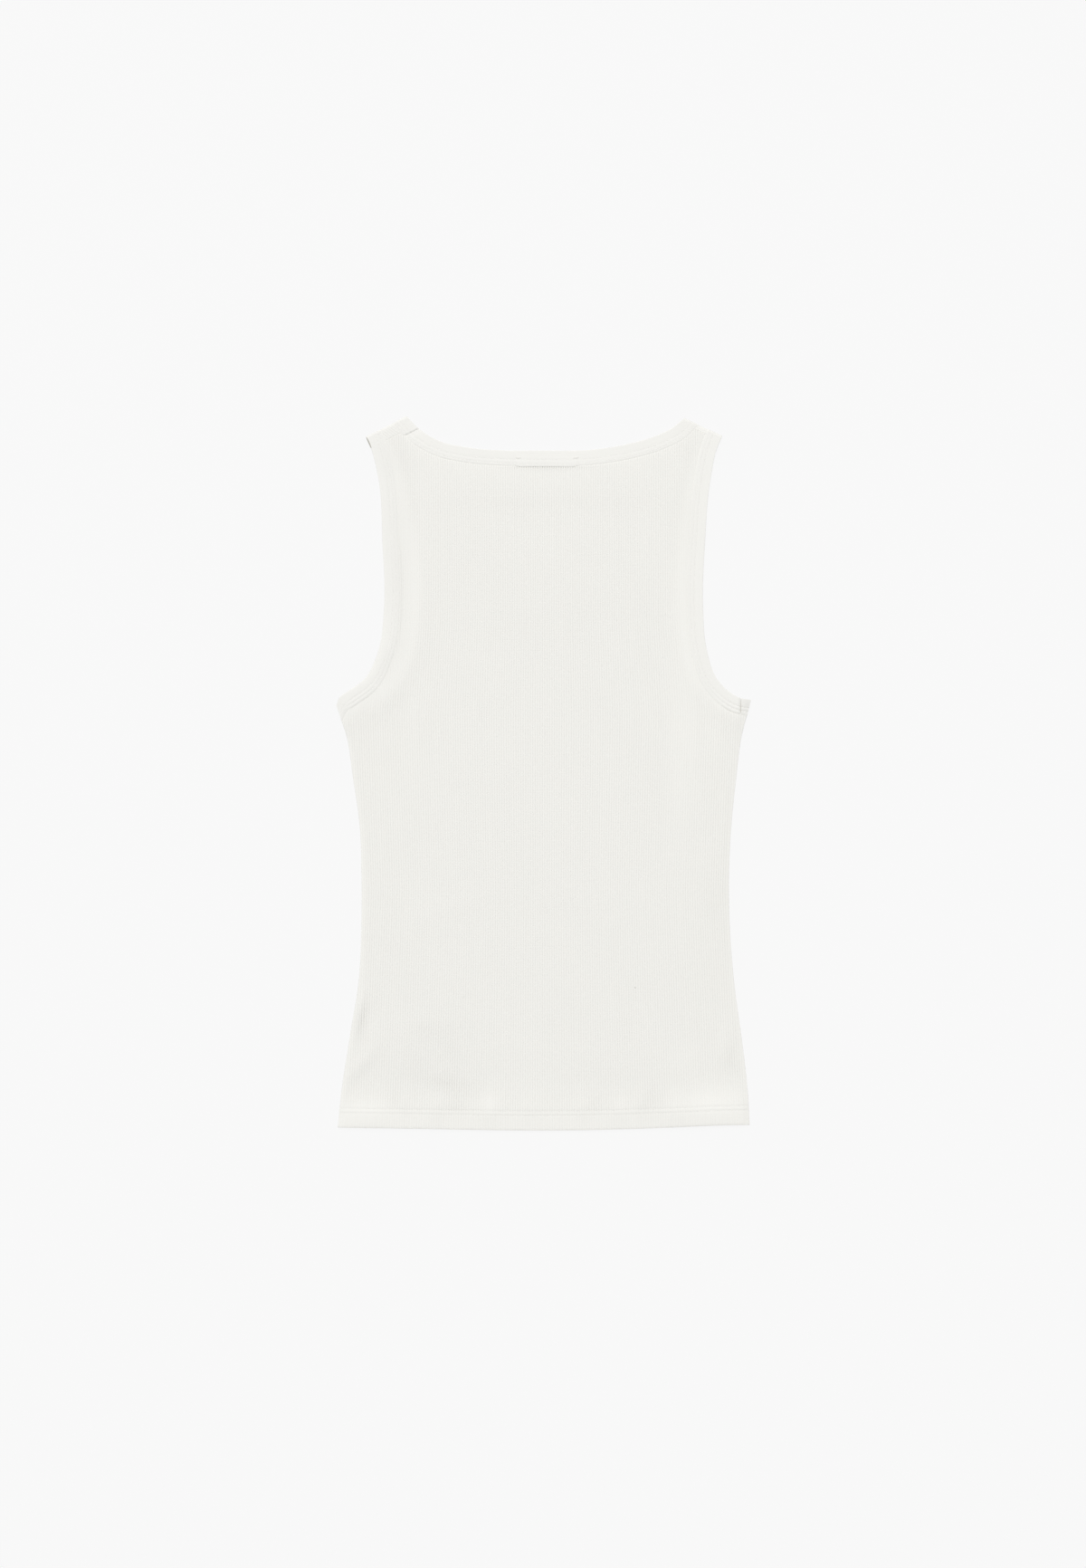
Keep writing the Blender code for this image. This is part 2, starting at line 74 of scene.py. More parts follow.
# Distance from one rib to the next, at heights on the garment: (y, pitch)
RIB_PITCH = [(-305, 2.10), (-100, 1.99), (50, 2.06), (130, 1.97), (305, 1.97)]

# ---- The outline ----
# Side seams from above the hem to under the arms: (y, left x, right x)
SIDE_ROWS = [
    (-270, -172.0, 173.5),
    (-223, -164.8, 168.1),
    (-177, -157.5, 161.9),
    (-119, -154.9, 157.9),
    (-85, -155.0, 157.7),
    (-50, -156.1, 159.2),
    (-4, -162.2, 163.7),
    (36, -169.0, 169.3),
]
# Hem edge from corner to corner: (x, y)
HEM_EDGE = [(-175.1, -301.0), (-120, -301.8), (-60, -302.9), (-20, -303.4), (60, -302.6),
            (110, -300.8), (150, -299.1), (175.1, -298.8)]
# The ends of the fold along the top of each shoulder: (x, y)
SHOULDER_ENDS = {"left": {"outer": (-151.3, 286.1), "neck": (-116.7, 303.8)},
                 "right": {"outer": (151.9, 287.0), "neck": (119.5, 302.1)}}
# How far behind the fold each shoulder seam lies
SHOULDER_SEAM = {"left": 11.0, "right": 4.3}

# Neck edges, from the middle of the back to the shoulder and from there to the middle of the
# front: (x, y) as they lie on the surface
NECK_BACK = {
    "left": [(0, 274.5), (-42.8, 274.9), (-65.9, 277.2), (-89, 282.6), (-107.5, 294.1)],
    "right": [(0, 274.5), (38, 274.9), (72.7, 280.3), (95.8, 287.0), (109, 293.4)],
}
NECK_FRONT = {
    "left": [(-112.0, 284), (-103, 265), (-91, 243), (-76, 219), (-55, 193), (-29, 174),
             (0, 167)],
    "right": [(116.5, 283), (106.5, 264), (94, 241), (78, 217), (56, 191.5), (29, 174),
              (0, 167)],
}
# Armhole edges, from the underarm up the back to the shoulder and down the front: (x, y)
ARMHOLE_BACK = {
    "left": [(-176.3, 57.8), (-173.6, 64.7), (-167.2, 69.3), (-151.9, 80.9), (-140.8, 104),
             (-135.8, 142.5), (-137.2, 196.4), (-140.5, 250.3), (-147.0, 276.4)],
    "right": [(176.3, 62.4), (165.7, 64.7), (157.8, 69.3), (146.9, 80.9), (138.8, 104),
              (135.4, 142.5), (137.1, 196.4), (141.8, 250.3), (147.4, 276.4)],
}
ARMHOLE_FRONT = {
    "left": [(-141.5, 269.5), (-135, 252), (-128, 225), (-121, 183), (-120, 142), (-125, 107),
             (-138, 81), (-157, 67), (-171, 62), (-176.3, 57.8)],
    "right": [(144.8, 272), (138.5, 252), (132.5, 225), (128.5, 185), (127.5, 145),
              (130.5, 110), (139, 85), (153, 70), (166, 63.8), (176.3, 62.4)],
}

# ---- How the layers lie ----
ON_CLOTH = WALL + GAP  # underside of the top layer over a single wall
ON_DOUBLED = DOUBLED + GAP  # and over a binding or the hem
SHOULDER_MID = ON_DOUBLED + DOUBLED / 2
BEND_RADIUS = (SHOULDER_MID - DOUBLED / 2) / 2
REACH = BEND_RADIUS + DOUBLED / 2  # from the fold's edge to the middle of its bend
PANEL_LIFT = (DOUBLED - WALL) / 2  # a panel meets its binding at half its thickness
END_SLANT = 0.92  # a binding gets longer along the side seam by up to 1 / this
LEVEL_NEAR_FOLD = 14  # no slope this near a shoulder's fold,
LEVEL_FADE = 30  # and the full slope this much further down
LIFT_FADE = 30  # a panel comes down from the middle of its binding over this length
OVERHANG = 4  # how far past the front's edges the top layer stays up,
SAG_LENGTH = {"neck": 105, "armhole": 14}  # and over how much more it sinks to the surface
RIDGE_FADE = {"neck": 60, "armhole": 18}  # it sinks from the front's bindings to its cloth,
HEM_RAMP, HEM_FADE = 6, 22  # and from the hem, beginning this far above its seam
STEP_BELOW, STEP_ABOVE = 4.0, 12.0  # a panel thins out this far below and above the hem's seam
CREASE_FADE = 6  # creases die out this near a side seam
FAR = 400  # well outside the garment

# ---- Edges and seams ----
SIDE_ROUNDING = 7.0  # the panels close on each other over this length at a side seam,
SIDE_WALL, SIDE_NOSE = 0.38, 0.3  # but for this share, which ends in a nose this long,
CLOSED_BELOW = (24, 43)  # and between these heights the nose comes to take all of it
EDGE_RIBS, EDGE_RIBS_FADE = 0.45, 5  # share of the ribs' height left at a side seam
HEM_FALL, HEM_ROUNDING = 0.3, 2.4  # the hem falls at its edge by this share over this length,
HEM_NOSE = 0.12  # and by the rest over this one
SEAM_RISE = {"left": 0.0, "right": 0.25}  # a shoulder seam lies flat, or on its allowance
SEAM_WIDTH = 0.7
SEAM_SLIT = 0.01  # half the slit between the two panels there
FOLD_RIBS = {"left": 0.65, "right": 0.1}  # ribs' strength past a shoulder's fold
BEND_STRETCH = 0.85  # and they are drawn flatter by this share in the bend
NECK_JOIN = 14.4  # the neck binding's ends meet this far behind the left fold
JOIN_GAP = 0.03  # half the gap between them
JOIN_GROOVE = 0.65  # they are drawn down there, steeply on the fold's side
JOIN_WIDTH = (3.4, 0.5)
TAUT = {"left": 0.85, "right": 0.8}  # ribs are flatter over the front's armhole bindings,
TAUT_MIDDLE, TAUT_HALF, TAUT_FADE = 6.9, 2, 11  # most of all this far from their edges
SLACK_LIMITS = (0.1, 2.2)  # the least and the most that SLACK makes of a rib
RIBS_FROM, RIBS_FADE = -0.2, 1.4  # from where past a binding the ribs grow, and over how much
HEM_FLATTER, HEM_FLAT_FADE = 0.45, 4  # they are this much lower in the hem
EDGE_DIP = {"neck": 0.14, "armhole": 0.08}  # the panel is pulled down beside its binding
EDGE_DIP_AT, EDGE_DIP_WIDTH = 0.4, 1.1
NOSE = 0.5  # rounding of a binding's folded edge,
BLUNT = 0.45  # which keeps this share of its thickness
INNER_EDGE = 0.9  # and of its sewn edge, which keeps this share:
INNER_EDGE_LEFT = 0.62
# How far the two needle rows of each seam lie from its edge, and the channels that they pull
NEEDLE_ROWS = {"neck": (7.4, 10.7), "armhole": (7.4, 10.5), "hem": (12.7, 16.5)}
CHANNEL_DEPTH = {"neck": 0.15, "armhole": 0.18, "hem": 0.2}
STITCH_PULL = 0.25  # each stitch pulls this much deeper at its ends
# a seam end that peeps out, painted dark for the shadow in the slit at the left shoulder
CHANNEL_WIDTH = 0.55
CHANNEL_PUFF = 0.5  # the cloth swells between two of them by this share
# Painted shade in the needle rows, a painted highlight on folded edges, and painted shadow on a
# panel just past its bindings' sewn edges
ROW_PAINTED_SHADE = {"neck": (-0.014, -0.004), "armhole": (-0.016, -0.012), "hem": (-0.028, -0.036)}
ROW_WIDTH = 0.7
RIM_PAINTED_HIGHLIGHT = {"neck": 0.004, "armhole": 0.008}
RIM_WIDTH = 1.7
EDGE_PAINTED_SHADOW, EDGE_WIDTH = -0.014, 1.0
NECK_PAINTED_LIGHT, NECK_REACH = 0.013, 18.0  # painted light: the panel is painted lighter this far from the neck binding
STITCH = 3.1  # from one stitch to the next
STITCH_LENGTH = 2.75
THREAD_RADIUS = 0.17
STITCH_RISE = 0.02  # a stitch's middle stands this far out of its channel
# Two tacks hold a label inside the neck: middle x of each, and its half length
LABEL_TACKS = [(-21.6, 2.9), (27.3, 3.1)]
TACK_WIDTH = 6.0  # how far they lie from the neck's edge
TACK_RADIUS, TACK_RISE = 0.8, -0.35
# Over the label the binding's sewn edge stands off the panel and sags over it, more and more from
# the width LABEL_SLACK on
LABEL_SPAN, LABEL_FADE = (-25.5, 30.5), 6.0
LABEL_ABOVE = 220  # the front's side of the neck lies below this height
LABEL_RISE, LABEL_SAG, LABEL_SLACK = 0.4, 1.0, 2.0
LABEL_DIP, LABEL_PAINTED_SHADOW = 3.0, 2.5  # the edge dip and the painted shadow past the edge grow there by these shares
# The right armhole's binding has a seam across it near its end, and its end turns down past it
UNDERARM_SEAM, SEAM_THREAD_RADIUS = 167.4, 0.3
SEAM_FROM, SEAM_STEP = 1.2, 0.6  # its points lie at these widths
UNDERARM_GROOVE, UNDERARM_WIDTH = 0.6, 1.1
UNDERARM_FALL, UNDERARM_FALL_LENGTH = 1.3, 10.0
# The cloth is gathered under both arms, beyond these distances from the middle and near this
# height: the channels, edge dips and painted edge shadows grow by these shares
UNDERARM_REACH, UNDERARM_HEIGHT = (138, 160), 60
UNDERARM_GATHER, UNDERARM_DIP, UNDERARM_PAINTED_SHADE = 1.0, 4.0, 1.2
UNDERARM_LEFT = 0.4  # it is so much weaker on the left
ROWS_END, ROWS_FADE = -168.5, 4.0  # the needle rows end at the left underarm's thick seam
NECK_SLACK, NECK_SLACK_AT = 0.45, 40.0  # the neck's seam pulls less by this share on the right
# The left shoulder seam's end peeps out at this width, up to this near the fold, as a thread
# painted dark for the shadow in the slit
SLIT_WIDTH, SLIT_END, SLIT_RADIUS = 0.35, -1.0, 0.5
LINT = [(77.3, -181.7), (77.9, -182.6)]  # a speck on the back
LINT_RISE, LINT_RADIUS = 0.15, 0.28

# ---- How finely the shape is cut ----
STATION_STEP = 0.4  # along a binding where it is worked out,
STRIP_STEP = 0.8  # and where it is cut, but for its bends and ends
UNDERARM_STRETCH = 16.0  # it is cut finely this far from its ends
OUTLINE_STEP = 2.0
LINES_PER_RIB = 6
# A panel's rows of points: heights above the hem's lowest point, then one every ROW_STEP up to
# ROWS_TOP, and over the shoulders from one height to another by a step
HEM_ROWS = [0.35, 0.8, 1.4, 2.1, 3, 4.5, 7, 9.5, 11.2, 11.9, 12.3, 12.7, 13.1, 13.6, 14.6, 15.5,
            16.1, 16.5, 16.9, 17.5, 18.6, 20.5, 23, 26, 30, 34, 38.5, 43, 48, 54, 60]
ROW_STEP, ROWS_TOP = 8.6, 260
SHOULDER_ROWS = {"back": [(262, 300, 2.0)],
                 "front": [(262, 281, 3.0), (281, 309, 0.6), (309, 320, 1.5)]}
HEM_FOLLOWED = (40, 60)  # rows follow the hem up to here, and then less over this length
PLAIN_LINES = 1 / 8  # the inner faces have one line for eight ribs
PLAIN_STEP = 16.0
INSETS = (0.12, 0.4, 0.8)  # loops inside a panel's outline that round its edge
NEAR_EDGE = (0.35, 0.8, 1.4, 2.2, 3.5)  # points of a rib's lines near their ends
TOUCH = 1e-3  # points this near each other are one
# Widths at which a binding is cut: on its outside before its rows, round each row and before its
# sewn edge, and on its inside
OUTSIDE_CUTS, BEFORE_ROWS = [0, 0.04, 0.14, 0.3, 0.5, 1.2, 2.4, 4.0], 1.1
ROW_CUTS = (-0.6, -0.3, 0, 0.3, 0.6)
SEWN_CUTS = (0.5, 0.2, 0)
INSIDE_CUTS, INSIDE_EDGE = [9, 6, 3, 1.0, 0.45, 0.12], 0.4


# ---- Plane geometry ----
def unit(vectors):
    return vectors / np.linalg.norm(vectors, axis=-1, keepdims=True)


def ease(value):
    """Smooth step from 0 to 1."""
    value = np.clip(value, 0.0, 1.0)
    return value * value * (3 - 2 * value)


def bell(distance, width):
    return np.exp(-(distance / width) ** 2)


def rounded(depth):
    """Height of a quarter-round edge, from 0 at the very edge to 1."""
    return np.sqrt(1 - (1 - np.clip(depth, 0, 1)) ** 2)


def bevelled(depth):
    """Height of a gently rounded edge, from 0 at the very edge to 1."""
    return 1 - (1 - np.clip(depth, 0, 1)) ** 2


def distances_along(path):
    """How far along a path each of its points lies."""
    steps = np.linalg.norm(np.diff(path, axis=0), axis=1)
    return np.concatenate([[0.0], np.cumsum(steps)])


def smooth_curve(knots, step):
    """Points about `step` apart on a curve through all the knots, with their directions."""
    knots = np.array(knots, float)
    chords = np.linalg.norm(np.diff(knots, axis=0), axis=1)
    stops = np.concatenate([[0.0], np.cumsum(chords)])
    slopes = np.gradient(knots, stops, axis=0)
    points, directions = [], []
    for index, chord in enumerate(chords):
        start, end = knots[index], knots[index + 1]
        pull_start, pull_end = slopes[index] * chord, slopes[index + 1] * chord
        count = max(1, round(chord / step))
        is_last = index == len(chords) - 1
        for part in range(count + is_last):
            t = part / count
            points.append((2 * t**3 - 3 * t**2 + 1) * start + (t**3 - 2 * t**2 + t) * pull_start
                          + (3 * t**2 - 2 * t**3) * end + (t**3 - t**2) * pull_end)
            directions.append(unit((6 * t**2 - 6 * t) * (start - end)
                                   + (3 * t**2 - 4 * t + 1) * pull_start
                                   + (3 * t**2 - 2 * t) * pull_end))
    return np.array(points), np.array(directions)


def distance_to(curve, points):
    """How far each point is from a line of points."""
    nearest = np.full(len(points), np.inf)
    for start, end in zip(curve[:-1], curve[1:]):
        along = end - start
        away = points - start
        share = np.clip(away @ along / (along @ along), 0, 1)
        away = away - share[:, None] * along
        nearest = np.minimum(nearest, np.hypot(away[:, 0], away[:, 1]))
    return nearest


def is_inside(loop, points):
    inside = np.zeros(len(points), bool)
    x, y = points[:, 0], points[:, 1]
    for (x0, y0), (x1, y1) in zip(loop, np.roll(loop, -1, axis=0)):
        if y0 != y1:
            spans = (y0 > y) != (y1 > y)
            inside ^= spans & (x0 + (y - y0) * (x1 - x0) / (y1 - y0) > x)
    return inside


def inset_loop(loop, distance):
    """A loop that runs counter-clockwise, moved in by `distance`."""
    normals = unit(np.roll(loop, -1, axis=0) - loop)[:, ::-1] * (-1, 1)
    middle = normals + np.roll(normals, 1, axis=0)
    return loop + 2 * distance * middle / (middle * middle).sum(axis=1)[:, None]


# ---- The folds and the bindings' course over them ----
class Fold:
    """The fold along the top of a shoulder. The back lies on one side of it and the front,
    unfolded, on the other, so cloth that crosses it is laid out in one plane."""

    def __init__(self, side):
        ends = SHOULDER_ENDS[side]
        self.seam = SHOULDER_SEAM[side]
        self.origin = np.array(ends["outer"], float)
        self.along = unit(np.array(ends["neck"]) - self.origin)
        self.out = np.array([-self.along[1], self.along[0]])
        if self.out[1] < 0:
            self.out = -self.out

    def past(self, points):
        """How far points of the unfolded plane lie past the fold."""
        return (points - self.origin) @ self.out

    def mirror(self, points):
        return points - 2 * np.multiply.outer(self.past(points), self.out)


FOLDS = {side: Fold(side) for side in SHOULDER_ENDS}


class Strip:
    """The course of a binding in the unfolded plane: points along its edge, and for each the
    inward vector that makes one millimetre of width."""

    def __init__(self, kind, fold, edge, inward):
        self.kind = kind
        self.width = BINDING_WIDTH[kind]
        self.fold = fold
        self.edge = edge
        self.inward = inward
        self.levels = fold.past(edge)

    def at(self, width):
        return self.edge + width * self.inward

    def on_front(self, width):
        return self.fold.mirror(self.at(width))

    def index_of(self, level):
        near = np.flatnonzero(abs(self.levels) < 2 * LEVEL_NEAR_FOLD)
        return np.interp(level, self.levels[near], near)

    def picked(self, indices):
        edge, inward = (np.column_stack([np.interp(indices, range(len(self.edge)), values)
                                         for values in column.T])
                        for column in (self.edge, self.inward))
        return Strip(self.kind, self.fold, edge, inward)

    def before(self, level):
        stop = self.index_of(level)
        return self.picked([*range(math.ceil(stop)), stop])

    def after(self, level):
        start = self.index_of(level)
        return self.picked([start, *range(math.floor(start) + 1, len(self.edge))])

    def thinned(self, step):
        """The same course with points about `step` apart, but for the bend."""
        every = round(step / STATION_STEP)
        index = np.arange(len(self.edge))
        from_end = np.minimum(index, index[::-1]) * STATION_STEP
        fine = (abs(self.levels) < REACH + 1) | (from_end < UNDERARM_STRETCH * (step < 1))
        kept = fine | (index % every == 0) | (index == index[-1])
        return self.picked(index[kept])


def strip(kind, side, back, crossing, front, hand, ends=(None, None)):
    """The strip from the far end of the back edge, `crossing` the fold, to the far end of the
    front's. `hand` is 1 where the cloth lies to the left of that way, else -1. `ends` are the
    directions across the ends of a binding that ends in a seam."""
    fold = FOLDS[side]
    edge, way = smooth_curve([*back, crossing, *fold.mirror(np.array(front, float))],
                             STATION_STEP)
    normal = hand * way[:, ::-1] * (-1, 1)
    across = np.where((normal @ fold.along > 0)[:, None], fold.along, -fold.along)
    share = 1 - ease((abs(fold.past(edge)) - LEVEL_NEAR_FOLD) / LEVEL_NEAR_FOLD)[:, None]
    inward = unit((1 - share) * normal + share * across)
    inward = inward / (inward * normal).sum(axis=1)[:, None]
    from_start = np.arange(len(edge)) * STATION_STEP
    for end, away in zip(ends, (from_start, from_start[::-1])):
        if end is not None:
            turned = 1 - ease(away / (2 * BINDING_WIDTH[kind]))[:, None]
            longer = 1 / np.maximum(normal @ end, END_SLANT)[:, None]
            inward = (1 - turned) * inward + turned * end * longer
    return Strip(kind, fold, edge, inward)


def neck_strip(side):
    return strip("neck", side, NECK_BACK[side], SHOULDER_ENDS[side]["neck"], NECK_FRONT[side],
                 1 if side == "left" else -1)


def armhole_strip(side):
    """It ends in the side seam, whose direction is that of the seam's highest stretch."""
    fold = FOLDS[side]
    row = SIDE_ROWS[-1]
    below = np.array([row[1 if side == "left" else 2], row[0]])
    end = unit(below - np.array(ARMHOLE_BACK[side][0]))
    turned = fold.mirror(fold.origin + end) - fold.origin
    return strip("armhole", side, ARMHOLE_BACK[side], SHOULDER_ENDS[side]["outer"],
                 ARMHOLE_FRONT[side], -1 if side == "left" else 1, (end, turned))


NECK = {side: neck_strip(side) for side in FOLDS}
ARMHOLE = {side: armhole_strip(side) for side in FOLDS}


# ---- How high each layer lies ----
# A neck or armhole opening of the front panel: its edge and the bare ground beyond it
Opening = namedtuple("Opening", "kind edge ground")


def front_edge(course):
    return course.after(0).thinned(2 * OUTLINE_STEP).on_front(0)


def neck_opening():
    edge = np.vstack([front_edge(NECK["left"])[:-1], front_edge(NECK["right"])[::-1]])
    return Opening("neck", edge, np.vstack([edge, [(FAR, FAR), (-FAR, FAR)]]))


def armhole_opening(side):
    edge = front_edge(ARMHOLE[side])
    outer_x = -FAR if side == "left" else FAR
    beyond = [(outer_x, edge[-1][1]), (outer_x, FAR), (edge[0][0], FAR)]
    return Opening("armhole", edge, np.vstack([edge, beyond]))


OPENINGS = [neck_opening(), armhole_opening("left"), armhole_opening("right")]
HEM_CURVE = smooth_curve(HEM_EDGE, OUTLINE_STEP)[0]
HEM_LOWEST = HEM_CURVE[:, 1].min()
BACK_EDGES = {kind: [course.before(0).thinned(2 * OUTLINE_STEP).edge
                     for course in courses.values()]
              for kind, courses in (("neck", NECK), ("armhole", ARMHOLE))}


def side_curve(side):
    """Up a side seam, from the hem's corner to the end of the armhole binding."""
    corner = HEM_CURVE[0 if side == "left" else -1]
    rows = [(row[1 if side == "left" else 2], row[0]) for row in SIDE_ROWS]
    top = ARMHOLE[side].at(ARMHOLE[side].width + GAP)[0]
    return smooth_curve([corner, *rows, top], OUTLINE_STEP)[0]


SIDES = {side: side_curve(side) for side in FOLDS}


def from_sides(points):
    return np.minimum(distance_to(SIDES["left"], points), distance_to(SIDES["right"], points))


def above_hem(points):
    return points[:, 1] - np.interp(points[:, 0], HEM_CURVE[:, 0], HEM_CURVE[:, 1])


def resting_height(points):
    """How high the top layer's underside lies, away from the shoulders."""
    ridge = 1 - ease((above_hem(points) - HEM_DEPTH - HEM_RAMP) / HEM_FADE)
    height = np.full(len(points), np.nan)
    for opening in OPENINGS:
        away = distance_to(opening.edge, points)
        sag = ON_DOUBLED * (1 - ease((away - OVERHANG) / SAG_LENGTH[opening.kind]))
        height = np.where(is_inside(opening.ground, points), sag, height)
        beside = (away - BINDING_WIDTH[opening.kind] - GAP) / RIDGE_FADE[opening.kind]
        ridge = np.maximum(ridge, 1 - ease(beside))
    height = np.where(np.isnan(height), ON_CLOTH + (ON_DOUBLED - ON_CLOTH) * ridge, height)
    return height + soft_spots(points, CREASES) * ease(from_sides(points) / CREASE_FADE)


def near_shoulder(points):
    return sum(np.where(points[:, 0] * fold.origin[0] > 0,
                        1 - ease((-fold.past(points) - LEVEL_NEAR_FOLD) / LEVEL_FADE), 0)
               for fold in FOLDS.values())


def binding_height(points):
    """The underside of a binding in the top layer."""
    share = near_shoulder(points)
    return (1 - share) * resting_height(points) + share * ON_DOUBLED


def past_binding(points, kind=""):
    """Distance into the back panel from the sewn edge of its neck binding, of its armholes'
    bindings or, by default, of the nearest."""
    return np.min([distance_to(edge, points) - BINDING_WIDTH[edge_kind]
                   for edge_kind, edges in BACK_EDGES.items() for edge in edges
                   if kind in edge_kind], axis=0)


def back_height(points):
    """The underside of the back panel."""
    to_binding = past_binding(points) - GAP
    share = near_shoulder(points)
    away = resting_height(points) + PANEL_LIFT * (1 - ease(to_binding / LIFT_FADE))
    return (1 - share) * away + share * (ON_DOUBLED + PANEL_LIFT)


def thickness(points):
    """A panel's wall, doubled at the hem where the cloth is turned up inside."""
    above_seam = above_hem(points) - HEM_DEPTH
    turned_up = 1 - ease((above_seam + STEP_BELOW) / (STEP_BELOW + STEP_ABOVE))
    return WALL + (DOUBLED - WALL) * turned_up


def place(fold, points, lift, half, top_height=None):
    """Puts points of the unfolded plane in their layer. `half` is half the wall in the bottom
    layer, and `lift` is the distance from its middle to the outside of the garment."""
    level = fold.past(points)
    lift = np.broadcast_to(lift, level.shape)
    half = np.broadcast_to(half, level.shape)
    bottom = np.column_stack([fold.mirror(points), half - lift])
    middle = np.full(level.shape, SHOULDER_MID)
    if top_height is not None:
        middle = top_height(points) + half
    top = np.column_stack([points, middle + lift])
    angle = math.pi * np.clip((level + REACH) / (2 * REACH), 0, 1)
    radius = (SHOULDER_MID - half) / 2
    reach = (radius + lift) * np.sin(angle)
    centre = points + np.multiply.outer(-(level + REACH), fold.out)
    bend = np.column_stack([centre + np.multiply.outer(reach, fold.out),
                            half + radius + (radius + lift) * np.cos(angle)])
    level = level[:, None]
    return np.where(level >= REACH, bottom, np.where(level <= -REACH, top, bend))


# ---- Relief of the knit ----
def rib_pitch(heights):
    return np.interp(heights, *zip(*RIB_PITCH))


def rib_phase(points):
    return points[:, 0] / rib_pitch(points[:, 1])


def rib_relief(points):
    """Height above the troughs: broad round crests with a narrow trough between."""
    return RIB_HEIGHT * abs(np.cos(math.pi * rib_phase(points))) ** RIB_ROUNDNESS


# Patches where the ribs are drawn flat or lie closer and deeper, and the painted shade in their
# troughs fades or grows with them: (middle x, middle y, degrees from +X, half length, half width,
# change of their strength)
SLACK = [
    (121, 45, 87, 100, 16, -0.45),  # taut down from the right armhole's front
    (-114, 60, 90, 60, 9, -0.2),
    (-105, 200, 90, 60, 14, -0.15),
    (0, 255, 0, 125, 13, -0.2),  # just under the neck
    (0, 229, 0, 105, 8, 0.2),
    (3, 260.8, 0, 34, 1.9, 1.4),  # gathered under the label
    (-152.5, -206, 77, 14, 3.5, 0.8),  # beside the dents on the left
    (-144, -214, 60, 8, 5, -0.4),
    (-98, -219, 5, 24, 7, 0.3),
    (-79, -236, -50, 16, 8, 0.25),
    (-82, -263, -10, 22, 8, 0.7),
    (-127, -276, 90, 7, 5, 0.3),
    (-76, -284, 90, 9, 8, 0.5),
    (43, -281, 90, 8, 8, 0.4),
    (93, -276, 80, 9, 9, 0.4),
    (117, -240, 60, 14, 10, -0.25),
    (159, -243, 90, 9, 5, 0.35),
    (143, -277, 8, 34, 12, -0.75),  # puffed out above the hem
    (160, -290, 0, 36, 9, -0.7),
    (-46, -280, 90, 10, 8, -0.55),
    (-155, -285, 5, 18, 10, -0.6),
    (-160, -292, 0, 30, 9, -0.7),
    (66, -284, 90, 8, 7, -0.3),
    (-8, -284, 90, 8, 6, -0.2),
]
# Soft creases of the top layer: (middle x, middle y, degrees from +X, half length, half width,
# height)
CREASES = [
    (-157.5, -205, 77, 14, 3.4, 2.2),  # dents beside the left seam
    (-155.5, -247, 48, 20, 6.5, 1.6),
    (-118, -242, 68, 30, 16, 0.8),
    (124, 42, 90, 100, 18, 2.2),  # fold down from the right armhole
    (141, -92, 91, 38, 11, 1.2),  # slack beside the right seam
    (154, -232, 80, 16, 7, 0.9),
    (-150, -291, 5, 22, 12, 1.4),  # puckers above the hem
    (-118, -279, 95, 12, 7, 0.5),
    (-90, -284, 86, 12, 7, 0.8),
    (-46, -286, 92, 12, 8, 1.1),
    (-10, -282, 88, 10, 8, 0.5),
    (33, -284, 90, 10, 7, 0.8),
    (66, -286, 94, 9, 7, 0.6),
    (84, -278, 85, 11, 6, 0.8),
    (112, -288, 88, 12, 9, 0.9),
    (142, -290, 4, 28, 16, 1.8),
    (-80, -115, 16, 38, 7, 0.55),  # faint pulls across the waist
    (-114, -138, 16, 24, 4, 0.3),
    (15, -106, -14, 28, 5, 0.25),
    (8, -137, 3, 30, 4, 0.2),
]
# Patches of painted shade and painted light, where the cloth is painted a little darker or
# lighter: (middle x, middle y, degrees from +X, half length, half width, change of tone)
PAINTED_SHADE_PATCHES = [
    (173.5, 57, 80, 9, 5, -0.070),  # painted shade under the arms, by their thick seams
    (167.4, 58, 90, 10, 1.4, -0.060),
    (-174, 58, -30, 8, 5, -0.020),
    (-152, 59, 38, 15, 5, -0.026),
    (144, 38, 90, 22, 9, 0.020),
    (-131, 180, 90, 85, 7, -0.018),  # painted shade over the front's bindings under the cloth
    (-119, 185, 90, 85, 9, -0.030),
    (-138, 92, 50, 24, 9, -0.026),
    (122, 192, 90, 80, 8, -0.014),
    (-134, 270, 0, 17, 20, -0.018),  # painted shade and light on the shoulders
    (114, 264, 0, 9, 10, 0.014),
    # painted shadow under the label's edge
    (3, 261, 0, 28, 5, -0.014),
    (88, 205, 90, 70, 20, 0.006),
    (100, -20, 90, 70, 9, -0.009),
    (0, -235, 0, 85, 14, 0.004),
    (-108, -246, 0, 55, 26, -0.010),  # painted shade and light above the hem
    (80, -264, 0, 55, 12, -0.009),
    (-90, -291, 0, 110, 11, 0.007),
    (152, -110, 90, 70, 20, -0.005),
]


def soft_spots(points, table):
    """The sum of a table's long soft bumps."""
    total = np.zeros(len(points))
    for x, y, degrees, half_length, half_width, amount in table:
        angle = math.radians(degrees)
        away = points - (x, y)
        along = away[:, 0] * math.cos(angle) + away[:, 1] * math.sin(angle)
        across = away[:, 1] * math.cos(angle) - away[:, 0] * math.sin(angle)
        total += amount * bell(along, half_length) * bell(across, half_width)
    return total


def channels(width, rows, along):
    """Depth of the two needle channels across a seam, from 0 to about 1, and the swelling
    between them. `along` is the way along the seam: each stitch pulls a little deeper at its
    ends."""
    pull = 1 + STITCH_PULL * np.cos(2 * math.pi * along / STITCH)
    depth = sum(bell(width - row, CHANNEL_WIDTH) for row in rows) * pull
    return depth - CHANNEL_PUFF * bell(width - sum(rows) / 2, (rows[1] - rows[0]) / 3)


# ---- Meshes ----
SHARPEST = 70  # degrees between faces that are still shaded as one


